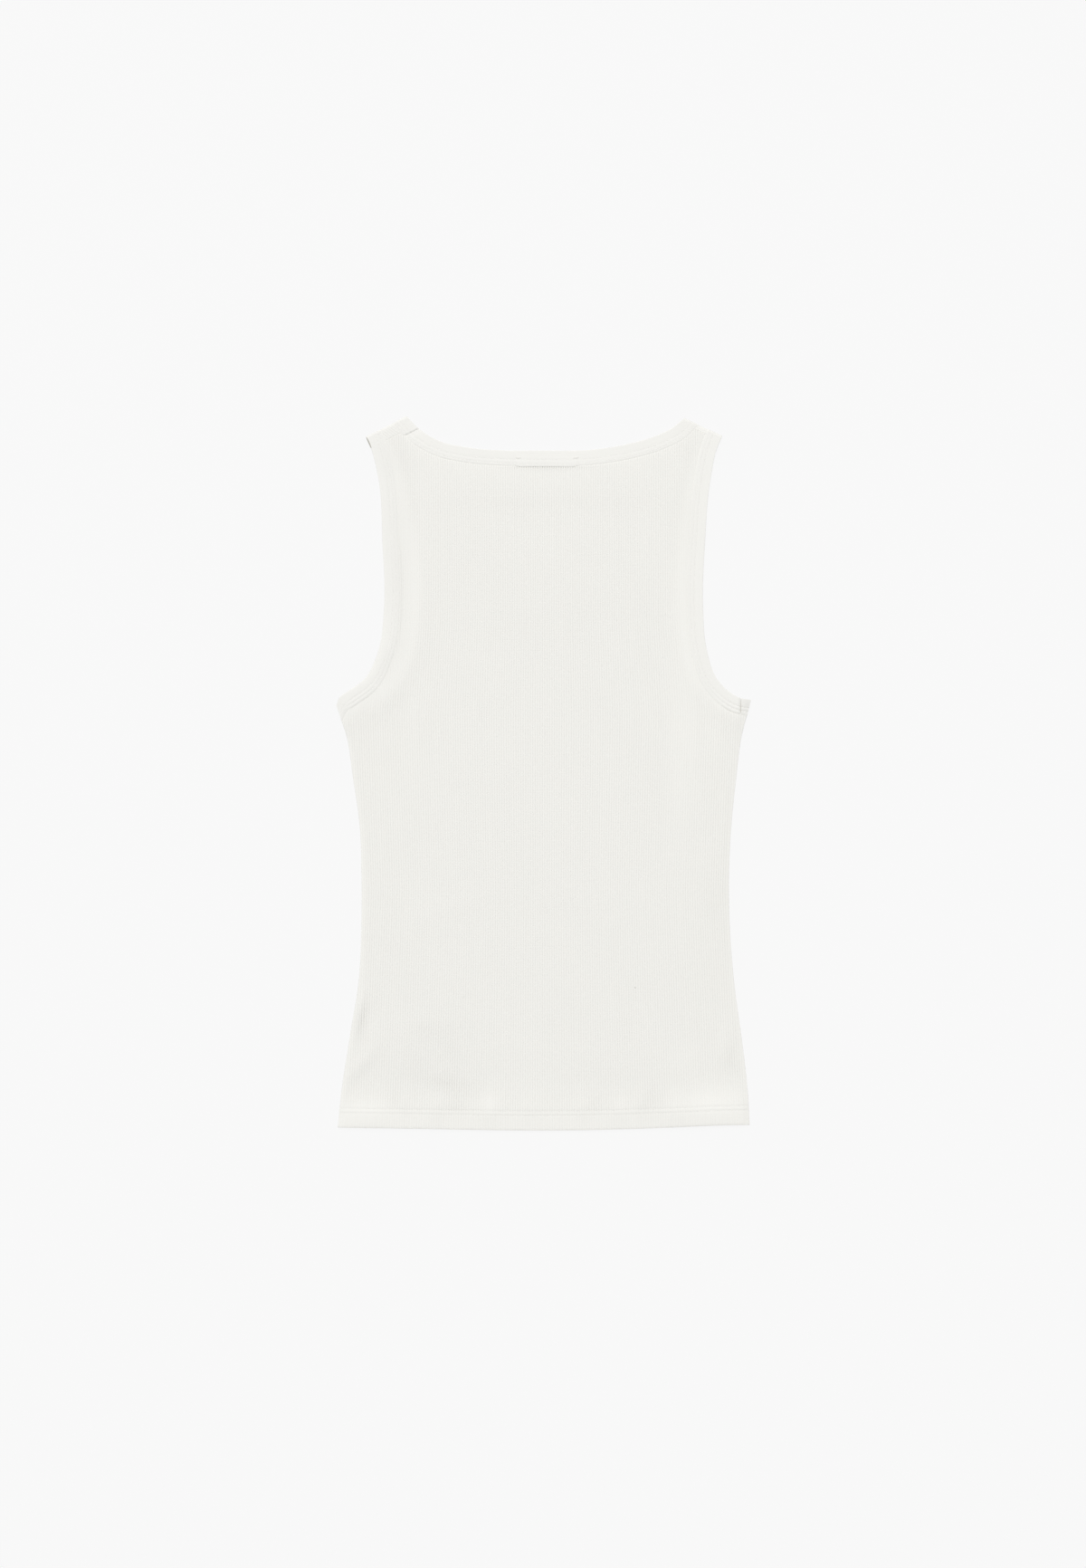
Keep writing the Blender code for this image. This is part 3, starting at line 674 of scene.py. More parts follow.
def add_object(name, points, faces, material, knit, painted_shading=1.0):
    """A smooth mesh object. `knit` gives each point's place in the knit for its material: across
    the ribs, along them, and how strong the ribs are there. The last argument and a table of soft
    patches paint shade and light on it: they make it darker or lighter."""
    mesh = bpy.data.meshes.new(name)
    mesh.from_pydata((np.asarray(points) * MM).tolist(), [], faces)
    mesh.shade_smooth()
    mesh.set_sharp_from_angle(angle=math.radians(SHARPEST))
    place_in_knit = mesh.attributes.new("knit", "FLOAT_VECTOR", "POINT")
    place_in_knit.data.foreach_set("vector", np.asarray(knit, np.float32).ravel())
    # painted shade and light from the table of patches, on the top layer only
    patches = soft_spots(np.asarray(points)[:, :2], PAINTED_SHADE_PATCHES) * (np.asarray(points)[:, 2] > GAP)
    painted_shading_values = mesh.attributes.new("painted_shading", "FLOAT", "POINT")
    painted_shading_values.data.foreach_set("value", (painted_shading + patches).astype(np.float32))
    mesh.materials.append(material)
    piece = bpy.data.objects.new(name, mesh)
    bpy.context.scene.collection.objects.link(piece)
    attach(piece, BODY)
    return piece


def triangulate(loops, lines):
    """Triangles inside the first loop that keep every loop and line as edges. Returns the points,
    the triangles and, for each point of the first loop, its index."""
    points, edges = [], []
    for number, path in enumerate(loops + lines):
        first = len(points)
        points += [Vector(point) for point in path]
        edges += [(index, index + 1) for index in range(first, len(points) - 1)]
        if number < len(loops):
            edges.append((len(points) - 1, first))
    flat, _, triangles, origins, _, _ = delaunay_2d_cdt(points, edges, [], 0, TOUCH)
    flat = np.array(flat)
    triangles = np.array(triangles)
    kept = triangles[is_inside(loops[0], flat[triangles].mean(axis=1))]
    index_of = {source: index for index, sources in enumerate(origins) for source in sources}
    return flat, kept, np.array([index_of[source] for source in range(len(loops[0]))])


def rib_lines(loop, lines_per_rib, rows, near_edge=(1.0, 2.0)):
    """Lines along the ribs inside a loop, with a point at each row, and at the distances
    `near_edge` from their ends. In the plane of phase and height the ribs are straight. `rows`
    gives the heights of the rows at a phase."""
    near_edge = np.array(near_edge)
    phase, height = rib_phase(loop), loop[:, 1]
    next_phase, next_height = np.roll(phase, -1), np.roll(height, -1)
    lines = []
    for index in range(math.ceil(phase.min() * lines_per_rib),
                       math.floor(phase.max() * lines_per_rib) + 1):
        at = index / lines_per_rib
        hit = (phase > at) != (next_phase > at)
        share = (at - phase[hit]) / (next_phase[hit] - phase[hit])
        ends = np.sort(height[hit] + share * (next_height[hit] - height[hit]))
        levels = rows(at)
        for low, high in zip(ends[0::2] + 5 * TOUCH, ends[1::2] - 5 * TOUCH):
            if high - low > 0.1:
                clear = 1.1 * near_edge[-1] if high - low > 3 * near_edge[-1] else 0.1
                between = levels[(levels > low + clear) & (levels < high - clear)]
                close = near_edge * (clear > 0.1)
                heights = np.unique([low, *(low + close), *between, *(high - close), high])
                lines.append(np.column_stack([at * rib_pitch(heights), heights]))
    return lines


def panel_rows(panel):
    """All the rows of the back or the front."""
    stretches = [(HEM_LOWEST + HEM_ROWS[-1] + ROW_STEP, ROWS_TOP, ROW_STEP), *SHOULDER_ROWS[panel]]
    return rows_of(np.concatenate([HEM_LOWEST + np.array(HEM_ROWS),
                                   *(np.arange(*stretch) for stretch in stretches)]))


def rows_of(levels):
    """Rows that follow the hem near it and are level further up."""

    def rows(phase):
        rise = np.interp(phase * rib_pitch(levels), *HEM_CURVE.T) - HEM_LOWEST
        follow = 1 - ease((levels - HEM_LOWEST - HEM_FOLLOWED[0]) / HEM_FOLLOWED[1])
        return levels + rise * follow
    return rows


def make_panel(name, outline, rows, outer, inner, strength, painted_shading, material):
    """A closed shell between an outer face with its ribs and a plain inner face."""
    insets = [inset_loop(outline, distance) for distance in INSETS]
    flat, faces, rim = triangulate([outline, *insets], rib_lines(insets[-1], LINES_PER_RIB, rows,
                                                                  NEAR_EDGE))
    plain_rows = rows_of(np.arange(HEM_LOWEST + PLAIN_STEP / 2, FAR, PLAIN_STEP))
    plain_lines = rib_lines(insets[-1], PLAIN_LINES, plain_rows)
    flat_in, faces_in, rim_in = triangulate([outline, insets[1]], plain_lines)
    shift = len(flat)
    points = np.vstack([outer(flat), inner(flat_in)])
    knit = np.vstack([flat, flat_in])
    strong = np.concatenate([strength(flat), np.zeros(len(flat_in))])
    knit = np.column_stack([rib_phase(knit), knit[:, 1], strong])
    painted_shading_values = np.concatenate([painted_shading(flat), np.ones(len(flat_in))])
    rim_in = rim_in + shift
    after, after_in = np.roll(rim, -1), np.roll(rim_in, -1)
    faces = [*faces.tolist(), *(faces_in[:, ::-1] + shift).tolist(),
             *np.column_stack([after, rim, rim_in, after_in]).tolist()]
    used = np.unique(np.concatenate([np.ravel(face) for face in faces]))
    number = np.zeros(len(points), int)
    number[used] = np.arange(len(used))
    faces = [number[face].tolist() for face in faces]
    return add_object(name, points[used], faces, material, knit[used], painted_shading_values[used])


# ---- The panels ----
def panel_outline(edge_points):
    """Counter-clockwise: hem, right side, right armhole, neck, left armhole, left side.
    `edge_points` gives a panel's points along a strip."""
    return np.vstack([HEM_CURVE, SIDES["right"][1:-1], edge_points(ARMHOLE["right"]),
                      edge_points(NECK["right"])[::-1], edge_points(NECK["left"])[1:],
                      edge_points(ARMHOLE["left"])[::-1], SIDES["left"][-2:0:-1]])


def back_points(course):
    """From the underarm or the middle of the back to the seam."""
    part = course.before(-course.fold.seam - SEAM_SLIT).thinned(OUTLINE_STEP)
    return part.at(part.width - TUCKED)


def front_points(course):
    """From the underarm or the middle of the front to the seam."""
    part = course.after(-course.fold.seam + SEAM_SLIT).thinned(OUTLINE_STEP)
    return part.on_front(part.width - TUCKED)[::-1]


def at_sides(points):
    """How far the two panels are apart near the side seams, from 0 to 1."""
    away = from_sides(points)
    wall = rounded(away / SIDE_NOSE)
    low, high = CLOSED_BELOW
    share = SIDE_WALL + (1 - SIDE_WALL) * ease((points[:, 1] - low) / (high - low))
    return share * wall + (1 - share) * bevelled(away / SIDE_ROUNDING)


def layers_meet(points):
    """The height halfway between the two panels, where they are sewn at the sides."""
    return (thickness(points) + back_height(points)) / 2


def beside_binding(past):
    """Ribs start where a panel comes out from under its binding."""
    return ease((past - RIBS_FROM) / RIBS_FADE)


def back_strength(points):
    """Ribs lie flatter over the front armholes' bindings, where the cloth is drawn tight, at the
    sides and in the hem, and change in the patches of SLACK."""
    strength = beside_binding(past_binding(points))
    for side, opening in zip(TAUT, OPENINGS[1:]):
        off_middle = abs(distance_to(opening.edge, points) - TAUT_MIDDLE)
        inside = ~is_inside(opening.ground, points)
        strength *= 1 - TAUT[side] * inside * (1 - ease((off_middle - TAUT_HALF) / TAUT_FADE))
    strength *= EDGE_RIBS + (1 - EDGE_RIBS) * ease(from_sides(points) / EDGE_RIBS_FADE)
    return strength * (1 + soft_spots(points, SLACK)).clip(*SLACK_LIMITS) * hem_strength(points)


def hem_strength(points):
    above_seam = above_hem(points) - HEM_DEPTH
    return 1 - HEM_FLATTER * (1 - ease((above_seam + HEM_FLAT_FADE / 2) / HEM_FLAT_FADE))


def hem_edge(points):
    """How much of its thickness the hem has near its edge, from 0 to 1."""
    above = above_hem(points)
    fall = bevelled(above / HEM_ROUNDING)
    return (1 - HEM_FALL) * rounded(above / HEM_NOSE) + HEM_FALL * fall


def hem_channels(points):
    return CHANNEL_DEPTH["hem"] * channels(above_hem(points), NEEDLE_ROWS["hem"], points[:, 0])


def row_painted_shade(width, kind):
    """Painted shade across a seam: its needle rows are painted darker."""
    return 1 + sum(shade * bell(width - row, ROW_WIDTH)
                   for row, shade in zip(NEEDLE_ROWS[kind], ROW_PAINTED_SHADE[kind]))


# painted shade in the hem's needle rows
def front_painted_shade(points):
    return row_painted_shade(above_hem(points), "hem")


def back_painted_shading(points):
    """Painted shadow right beside the bindings, and painted light further in from the neck's."""
    painted_shading = front_painted_shade(points)
    deeper = LABEL_PAINTED_SHADOW * over_label(points) + UNDERARM_PAINTED_SHADE * near_underarm(points)
    for kind in BINDING_WIDTH:
        past = past_binding(points, kind)
        painted_shading += EDGE_PAINTED_SHADOW * (1 + deeper) * bell(past - EDGE_WIDTH / 2, EDGE_WIDTH)
        if kind == "neck":
            # painted light further in from the neck binding
            painted_shading += NECK_PAINTED_LIGHT * (1 - ease(past / NECK_REACH))
    return painted_shading


def edge_dip(points):
    """How far the back is pulled down beside its bindings."""
    dips = [depth * bell(past_binding(points, kind) - EDGE_DIP_AT, EDGE_DIP_WIDTH)
            for kind, depth in EDGE_DIP.items()]
    dips[0] = dips[0] * neck_pull(points)
    deeper = LABEL_DIP * over_label(points) + UNDERARM_DIP * near_underarm(points)
    return np.max(dips, axis=0) * (1 + deeper)


def seam_rise(points, way):
    """How far the cloth stands up at the shoulder seams. `way` is 1 on the back, and -1 in the
    front's own plane."""
    rise = 0
    for side, fold in FOLDS.items():
        seam = fold.seam + FAR * (points[:, 0] * fold.origin[0] < 0)
        rise = rise + SEAM_RISE[side] * bell(fold.past(points) + way * seam, SEAM_WIDTH)
    return rise


def back_outer(points):
    wall, under = thickness(points), back_height(points)
    ribs = rib_relief(points) * back_strength(points)
    rise = wall / 2 + ribs - edge_dip(points) - hem_channels(points) + seam_rise(points, 1)
    top = under + wall / 2 + rise * hem_edge(points)
    return rounded_at_sides(points, np.column_stack([points, top]))


def back_inner(points):
    wall, under = thickness(points), back_height(points)
    bottom = under + wall / 2 * (1 - hem_edge(points))
    return rounded_at_sides(points, np.column_stack([points, bottom]))


def on_front(points, lift, half):
    """Places points of the front's own plane, over either shoulder."""
    placed = np.zeros((len(points), 3))
    is_left = points[:, 0] < 0
    for side, chosen in (("left", is_left), ("right", ~is_left)):
        fold = FOLDS[side]
        placed[chosen] = place(fold, fold.mirror(points[chosen]), lift[chosen], half)
    return placed


def past_front_fold(points):
    """How far points of the front's own plane have turned over their shoulder's fold."""
    return np.where(points[:, 0] < 0, FOLDS["left"].past(points), FOLDS["right"].past(points))


def front_strength(points):
    nearest = np.min([distance_to(course.thinned(OUTLINE_STEP).edge, FOLDS[side].mirror(points))
                      - course.width for courses in (NECK, ARMHOLE)
                      for side, course in courses.items()], axis=0)
    turned = past_front_fold(points)
    past_fold = np.where(points[:, 0] < 0, FOLD_RIBS["left"], FOLD_RIBS["right"])
    stretched = 1 - (1 - past_fold) * ease((turned + 3 * REACH) / (2 * REACH))
    stretched *= 1 - BEND_STRETCH * bell(turned, 1.5 * REACH)
    return beside_binding(nearest) * hem_strength(points) * stretched


def front_outer(points):
    """The ribs' crests lie on the ground, and stand up past the fold."""
    half = WALL / 2
    turned = past_front_fold(points)
    over = ease((turned + REACH) / (2 * REACH))
    ribs = rib_relief(points) * front_strength(points)
    lift = half + ribs - RIB_HEIGHT * (1 - over) - np.maximum(hem_channels(points), 0)
    lift += seam_rise(points, -1)
    wall = thickness(points)
    middle = half - wall / 2
    lift = middle + (lift - middle) * hem_edge(points)
    return rounded_at_sides(points, on_front(points, lift, half))


def rounded_at_sides(points, placed):
    """A panel's placed points, drawn to the height where the panels meet at the sides."""
    meet = layers_meet(points)
    is_flat = past_front_fold(points) < -2 * LEVEL_NEAR_FOLD
    share = np.where(is_flat, at_sides(points), 1)
    placed[:, 2] = meet + (placed[:, 2] - meet) * share
    return placed


def front_inner(points):
    half = WALL / 2
    wall = thickness(points)
    lift = half - wall / 2 - wall / 2 * hem_edge(points)
    return rounded_at_sides(points, on_front(points, lift, half))


# ---- The bindings ----
def binding_section(kind):
    """(width, is on the outside) round a binding's cross-section, from its folded edge."""
    rows, whole = NEEDLE_ROWS[kind], BINDING_WIDTH[kind]
    outside = [*OUTSIDE_CUTS, rows[0] - BEFORE_ROWS, *(rows[0] + cut for cut in ROW_CUTS),
               sum(rows) / 2, *(rows[1] + cut for cut in ROW_CUTS),
               *(whole - cut for cut in SEWN_CUTS)]
    inside = [whole, whole - INSIDE_EDGE, *INSIDE_CUTS]
    return [(width, True) for width in outside] + [(width, False) for width in inside]


def half_thickness(width, whole):
    """Half a binding's thickness, round at its folded edge and thinner at its sewn one, where
    `width` is the `whole` of it."""
    sewn = 1 - (1 - INNER_EDGE_LEFT) * ease((width - whole + INNER_EDGE) / INNER_EDGE)
    return DOUBLED / 2 * (BLUNT + (1 - BLUNT) * rounded(np.asarray(width) / NOSE)) * sewn


def over_label(points):
    """How far points are within the stretch over the label, from 0 to 1."""
    low, high = LABEL_SPAN
    over = ease((points[:, 0] - low) / LABEL_FADE) * ease((high - points[:, 0]) / LABEL_FADE)
    return over * (points[:, 1] > LABEL_ABOVE)


def neck_pull(points):
    """How hard the neck's seam pulls, from 0 to 1."""
    return 1 - NECK_SLACK * ease(points[:, 0] / NECK_SLACK_AT)


def near_underarm(points):
    """How far points are within the gathers beside an underarm, from 0 to 1."""
    low, high = UNDERARM_REACH
    near = ease((abs(points[:, 0]) - low) / (high - low))
    near = near * (abs(points[:, 1] - UNDERARM_HEIGHT) < UNDERARM_HEIGHT)
    return near * np.where(points[:, 0] > 0, 1, UNDERARM_LEFT)


def underarm_end(points):
    """The right armhole's binding has a seam across it on the back, and turns down past it."""
    past_seam = points[:, 0] - UNDERARM_SEAM
    groove = UNDERARM_GROOVE * bell(past_seam, UNDERARM_WIDTH)
    fall = UNDERARM_FALL * ease(past_seam / UNDERARM_FALL_LENGTH)
    return (groove + fall) * (points[:, 0] > 0)


def binding_face(course, width, is_outside, along=0.0, rise=0.0):
    """Points along a strip on one of its faces, at a width from its edge."""
    kind = course.kind
    lift_off = ease((width - LABEL_SLACK) / (course.width - LABEL_SLACK)) * (kind == "neck")
    sag = LABEL_SAG * lift_off * over_label(course.at(course.width))
    points = course.at(width) + sag[:, None] * course.inward
    is_back = course.levels < -REACH
    if kind == "neck":
        gathered = np.where(is_back, neck_pull(points), 1)
    else:
        gathered = np.where(is_back, 1 + UNDERARM_GATHER * near_underarm(points), 1)
        gathered = gathered * ease((points[:, 0] - ROWS_END) / ROWS_FADE)
    depth = CHANNEL_DEPTH[kind] * channels(width, NEEDLE_ROWS[kind], along) * gathered
    half = half_thickness(width, course.width)
    lift = (half - depth if is_outside else -half) + rise
    if kind == "neck":
        lift = lift + LABEL_RISE * lift_off * over_label(points) * is_back
    elif is_outside:
        lift = lift - underarm_end(points) * is_back
    if is_outside and kind == "neck" and course.fold is FOLDS["left"]:
        from_join = course.levels + NECK_JOIN
        lift = lift - JOIN_GROOVE * bell(from_join, np.where(from_join < 0, *JOIN_WIDTH))
    lift = np.where(course.levels < 0, lift, np.minimum(lift, DOUBLED / 2))
    return place(course.fold, points, lift, DOUBLED / 2, binding_height)


def neck_parts():
    """The neck binding's strips, from its join at the left shoulder seam round to it again, each
    with whether it runs backwards."""
    return [(NECK["left"].before(-NECK_JOIN - JOIN_GAP), True), (NECK["right"], False),
            (NECK["left"].after(-NECK_JOIN + JOIN_GAP), True)]


def run_length(parts):
    """Distance along the edge, for each station of each part."""
    start, runs = 0.0, []
    for course, _ in parts:
        runs.append(start + distances_along(course.edge))
        start = runs[-1][-1]
    return runs


def face_along(parts, width, is_outside, rise=0.0):
    """One line of points along a whole binding, in order."""
    lines = []
    for (course, is_backwards), along in zip(parts, run_length(parts)):
        along = along[-1] + along[0] - along if is_backwards else along
        line = binding_face(course, width, is_outside, along, rise)
        line = line[::-1] if is_backwards else line
        lines.append(line[1:] if lines else line)
    return np.vstack(lines)


def make_binding(name, parts, material):
    """A closed shell round a binding's cross-section, from one end to the other."""
    kind = parts[0][0].kind
    section = binding_section(kind)
    grid = np.stack([face_along(parts, width, is_outside) for width, is_outside in section],
                    axis=1)
    stations, size = grid.shape[:2]
    number = np.arange(stations * size).reshape(stations, size)
    here, after = number[:-1], number[1:]
    faces = np.stack([here, after, np.roll(after, -1, axis=1), np.roll(here, -1, axis=1)], axis=2)
    faces = faces.reshape(-1, 4).tolist() + [number[0].tolist(), number[-1][::-1].tolist()]
    along = distances_along(grid[:, 0])
    widths, is_outside = np.array(section).T
    knit = np.stack(np.broadcast_arrays(widths[None, :], along[:, None], 0), axis=2)
    # painted shade in the needle rows and a painted highlight on the folded edge
    painted_shading = row_painted_shade(widths, kind) + RIM_PAINTED_HIGHLIGHT[kind] * bell(widths, RIM_WIDTH)
    painted_shading = np.tile(np.where(is_outside, painted_shading, 1.0), stations)
    return add_object(name, grid.reshape(-1, 3), faces, material, knit.reshape(-1, 3), painted_shading)


# ---- Stitches ----
RING = 6  # corners of a thread's rings
WAY_STEP, STEEP = 0.2, 0.9  # where its way is measured, and from what slope on it counts as steep
HEM_ROW_INSET, HEM_ROW_STEP = 1.5, 0.33
HEM_SMOOTHING = 8  # the hem's rows are smoothed over so many points on each side
# Rings along one stitch: share of its length, and share of the thread's radius
BEADS = [(0.0, 0.35), (0.12, 0.8), (0.35, 1.0), (0.65, 1.0), (0.88, 0.8), (1.0, 0.35)]


def thread_lengths(path, starts, length, radius):
    """Points and faces of short lengths of thread that lie along a path."""
    along = distances_along(path)

    def on_path(at):
        return np.column_stack([np.interp(at, along, path[:, axis]) for axis in range(3)])

    rings = []
    for share, girth in BEADS:
        at = starts + share * length
        middle = on_path(at)
        way = unit(on_path(at + WAY_STEP) - on_path(at - WAY_STEP))
        steep = abs(way[:, 2:]) > STEEP
        side = unit(np.cross(way, np.where(steep, (1.0, 0, 0), (0, 0, 1.0))))
        up = np.cross(side, way)
        for corner in range(RING):
            turn = 2 * math.pi * corner / RING
            rings.append(middle + girth * radius * (math.cos(turn) * side + math.sin(turn) * up))
    points = np.stack(rings, axis=1).reshape(-1, 3)
    number = np.arange(len(points)).reshape(-1, len(BEADS), RING)
    here, after = number[:, :-1], number[:, 1:]
    quads = np.stack([here, np.roll(here, -1, axis=2), np.roll(after, -1, axis=2), after], axis=3)
    caps = np.stack([number[:, 0, ::-1], number[:, -1]], axis=1)
    return points, quads.reshape(-1, 4).tolist() + caps.reshape(-1, RING).tolist()


def make_thread(name, path, radius, material):
    """One length of thread along the whole path."""
    points, faces = thread_lengths(path, np.zeros(1), distances_along(path)[-1], radius)
    return add_object(name, points, faces, material, points)


def make_stitches(name, paths, material):
    """Rows of stitches along paths, in one mesh."""
    points, faces = [], []
    for path in paths:
        starts = np.arange(STITCH / 2, distances_along(path)[-1] - STITCH, STITCH)
        row_points, row_faces = thread_lengths(path, starts, STITCH_LENGTH, THREAD_RADIUS)
        shift = sum(map(len, points))
        points.append(row_points)
        faces += [[corner + shift for corner in face] for face in row_faces]
    points = np.vstack(points)
    return add_object(name, points, faces, material, points)


def seam_details():
    """Threads that show by themselves: (name, path, radius, color)"""
    left, right = ARMHOLE["left"], ARMHOLE["right"]
    slit = binding_face(left.after(-left.fold.seam).before(SLIT_END), SLIT_WIDTH, True)
    details = [("shoulder_slit_shadow_thread", slit, SLIT_RADIUS, SLIT_SHADOW_COLOR)]
    across = [binding_face(right, width, True)
              for width in np.arange(SEAM_FROM, right.width, SEAM_STEP)]
    stations = [np.argmin(abs(line[:, 0] - UNDERARM_SEAM) + FAR * (right.levels > -REACH))
                for line in across]
    seam = np.array([line[station] for line, station in zip(across, stations)])
    details.append(("underarm_seam", seam, SEAM_THREAD_RADIUS, UNDERARM_COLOR))
    for number, (x, half) in enumerate(LABEL_TACKS):
        side = "left" if x < 0 else "right"
        line = binding_face(NECK[side].before(-REACH), TACK_WIDTH, True, rise=TACK_RISE)
        line = line[abs(line[:, 0] - x) < half]
        details.append((f"label_tack_{number}", line, TACK_RADIUS, TACK_COLOR))
    speck = back_outer(np.array(LINT)) + (0, 0, LINT_RISE)
    details.append(("lint", speck, LINT_RADIUS, LINT_COLOR))
    return details


def binding_rows(parts):
    """The two rows of stitches along a binding, on its outside."""
    return [face_along(parts, row, True, STITCH_RISE) for row in NEEDLE_ROWS[parts[0][0].kind]]


def hem_rows(face):
    """The two rows of stitches along a hem, on a panel's outer face."""
    paths = []
    for row in NEEDLE_ROWS["hem"]:
        x = np.arange(HEM_CURVE[0, 0] + HEM_ROW_INSET, HEM_CURVE[-1, 0] - HEM_ROW_INSET,
                      HEM_ROW_STEP)
        line = np.column_stack([x, np.interp(x, *HEM_CURVE.T) + row])
        line = line[from_sides(line) > 2 * SIDE_NOSE]
        paths.append(face(line))
    return paths


def smoothed(path, reach):
    """A path whose heights are averaged over `reach` points on each side."""
    kernel = np.ones(2 * reach + 1) / (2 * reach + 1)
    heights = np.pad(path[:, 2], reach, mode="edge")
    return np.column_stack([path[:, :2], np.convolve(heights, kernel, "valid")])


# ---- Materials ----
RIB_COLOR = (0.920, 0.912, 0.873)
# The binding is the same cloth as the ribs; its colour is a little darker as painted shade, since
# its flat face takes fuller light than ribbed cloth
BINDING_COLOR = (0.905, 0.898, 0.862)
THREAD_COLOR = (0.93, 0.92, 0.89)
SLIT_SHADOW_COLOR = (0.50, 0.485, 0.43)  # overlocked seam ends that peep out
UNDERARM_COLOR = (0.70, 0.68, 0.63)
TACK_COLOR = (0.87, 0.86, 0.82)
LINT_COLOR = (0.55, 0.53, 0.50)
COURSE = 1.15  # height of one row of knit loops
# Unevenness of the knit's tone: noise scale, noise detail, amount
FUZZ, PATCHES, STREAKS = (2600.0, 3.0, 0.05), (26.0, 3.0, 0.02), (1.0, 2.0, 0.03)
STREAK_ACROSS, STREAK_ALONG = 1.7, 0.012  # streaks change from rib to rib, and little along them
LOOP_BUMP = 0.35  # height of the loops against that of the fuzz
KNIT_BUMP, TWIST_BUMP = 0.00012, 0.00005  # height of the bumps, in metres
RIB_PAINTED_SHADE = 0.075  # painted shade: how much darker the troughs between the ribs are painted
KNIT_FINISH = {"Roughness": 0.92, "Specular IOR Level": 0.25, "Sheen Weight": 0.14,
               "Sheen Roughness": 0.5}


class Nodes:
    """Adds nodes to a material's tree."""

    def __init__(self, name):
        self.material = bpy.data.materials.new(name)
        self.material.use_nodes = True
        self.tree = self.material.node_tree
        self.shader = self.tree.nodes["Principled BSDF"]

    def add(self, kind, settings=None, **inputs):
        node = self.tree.nodes.new(kind)
        for key, value in (settings or {}).items():
            setattr(node, key, value)
        for key, value in inputs.items():
            self.set(node.inputs[int(key[1:]) if key[1:].isdigit() else key], value)
        return node

    def set(self, socket, value):
        if isinstance(value, bpy.types.NodeSocket):
            self.tree.links.new(value, socket)
        else:
            socket.default_value = value

    def math(self, operation, *values):
        node = self.tree.nodes.new("ShaderNodeMath")
        node.operation = operation
        for socket, value in zip(node.inputs, values):
            self.set(socket, value)
        return node.outputs[0]

    def finish(self, values):
        for key, value in values.items():
            self.shader.inputs[key].default_value = value

    def cover(self, color, gain, height, strength, distance):
        """Colours the shader by `color` times `gain`, and bumps it by `height`."""
        tint = self.add("ShaderNodeVectorMath", {"operation": "SCALE"}, _0=color, Scale=gain)
        self.set(self.shader.inputs["Base Color"], tint.outputs["Vector"])
        bumped = self.add("ShaderNodeBump", Strength=strength, Distance=distance, Height=height)
        self.set(self.shader.inputs["Normal"], bumped.outputs["Normal"])

    def noise(self, vector, scale, detail):
        node = self.add("ShaderNodeTexNoise", Vector=vector, Scale=scale, Detail=detail)
        return node.outputs["Fac"]


def knit_material(name, color, rib_painted_shade, bump):
    """Matt cotton knit: rows of small V-shaped loops along each rib, fine fuzz, and a little
    unevenness of the yarn from rib to rib. The third argument is painted shade: how much darker
    the troughs between the ribs are painted."""
    nodes = Nodes(name)
    knit = nodes.add("ShaderNodeAttribute", {"attribute_name": "knit"}).outputs["Vector"]
    split = nodes.add("ShaderNodeSeparateXYZ", Vector=knit)
    across, along, strength = split.outputs
    solid = nodes.add("ShaderNodeTexCoord").outputs["Object"]
    from_crest = nodes.math("PINGPONG", across, 0.5)
    loops = nodes.math("ADD", nodes.math("DIVIDE", along, COURSE), from_crest)
    loops = nodes.math("SINE", nodes.math("MULTIPLY", loops, 2 * math.pi))
    fuzz = nodes.noise(solid, *FUZZ[:2])
    patches = nodes.noise(solid, *PATCHES[:2])
    stretched = nodes.add("ShaderNodeCombineXYZ", X=nodes.math("MULTIPLY", across, STREAK_ACROSS),
                          Y=nodes.math("MULTIPLY", along, STREAK_ALONG)).outputs["Vector"]
    streaks = nodes.noise(stretched, *STREAKS[:2])
    # painted shade in the troughs between the ribs, as strong as the ribs there
    trough = nodes.math("MULTIPLY", from_crest, strength)
    shade = nodes.math("MULTIPLY", trough, -2 * rib_painted_shade)
    for part, (_, _, amount) in ((fuzz, FUZZ), (patches, PATCHES), (streaks, STREAKS)):
        centred = nodes.math("SUBTRACT", part, 0.5)
        shade = nodes.math("ADD", shade, nodes.math("MULTIPLY", centred, amount))
    # painted shade and light that each mesh carries in an attribute
    painted_shading = nodes.add("ShaderNodeAttribute", {"attribute_name": "painted_shading"}).outputs["Fac"]
    gain = nodes.math("MULTIPLY", nodes.math("ADD", shade, 1.0), painted_shading)
    height = nodes.math("ADD", nodes.math("MULTIPLY", loops, LOOP_BUMP), fuzz)
    nodes.cover(color, gain, height, bump, KNIT_BUMP)
    nodes.finish(KNIT_FINISH)
    return nodes.material


def thread_material(name, color):
    """Twisted thread: slanting plies as bump and a faint shade."""
    nodes = Nodes(name)
    solid = nodes.add("ShaderNodeTexCoord").outputs["Object"]
    twist = nodes.add("ShaderNodeTexWave", {"bands_direction": "DIAGONAL"}, Vector=solid,
                      Scale=900.0, Distortion=1.5).outputs["Fac"]
    gain = nodes.math("ADD", nodes.math("MULTIPLY", twist, 0.04), 0.97)
    nodes.cover(color, gain, twist, 0.4, TWIST_BUMP)
    nodes.finish({"Roughness": 0.7})
    return nodes.material


# ---- Stage ----
PIXEL = 0.77  # millimetres of the surface that one pixel of the frame covers
FRAME_SIZE = (1200, 1732)
FRAME_MIDDLE = (-0.62, -9.05)  # what the middle of the frame shows
LENS = 85.0
SENSOR = 36.0
GROUND_GLOW = 0.93  # share of the floor's light that doesn't depend on shadows
GROUND_BRIGHTNESS = 0.942
FLOOR_SIZE, FLOOR_HEIGHT = 60.0, -1e-4  # half its side, and where it lies, in metres
WORLD_STRENGTH = 0.576
# Lamps: kind, place, strength, settings
LAMPS = {"key": ("SUN", (-0.16, 1.0, 2.1), 1.245, {"angle": math.radians(30)}),
         "softbox": ("AREA", (-0.9, 1.9, 2.1), 7.0, {"shape": "DISK", "size": 1.6})}


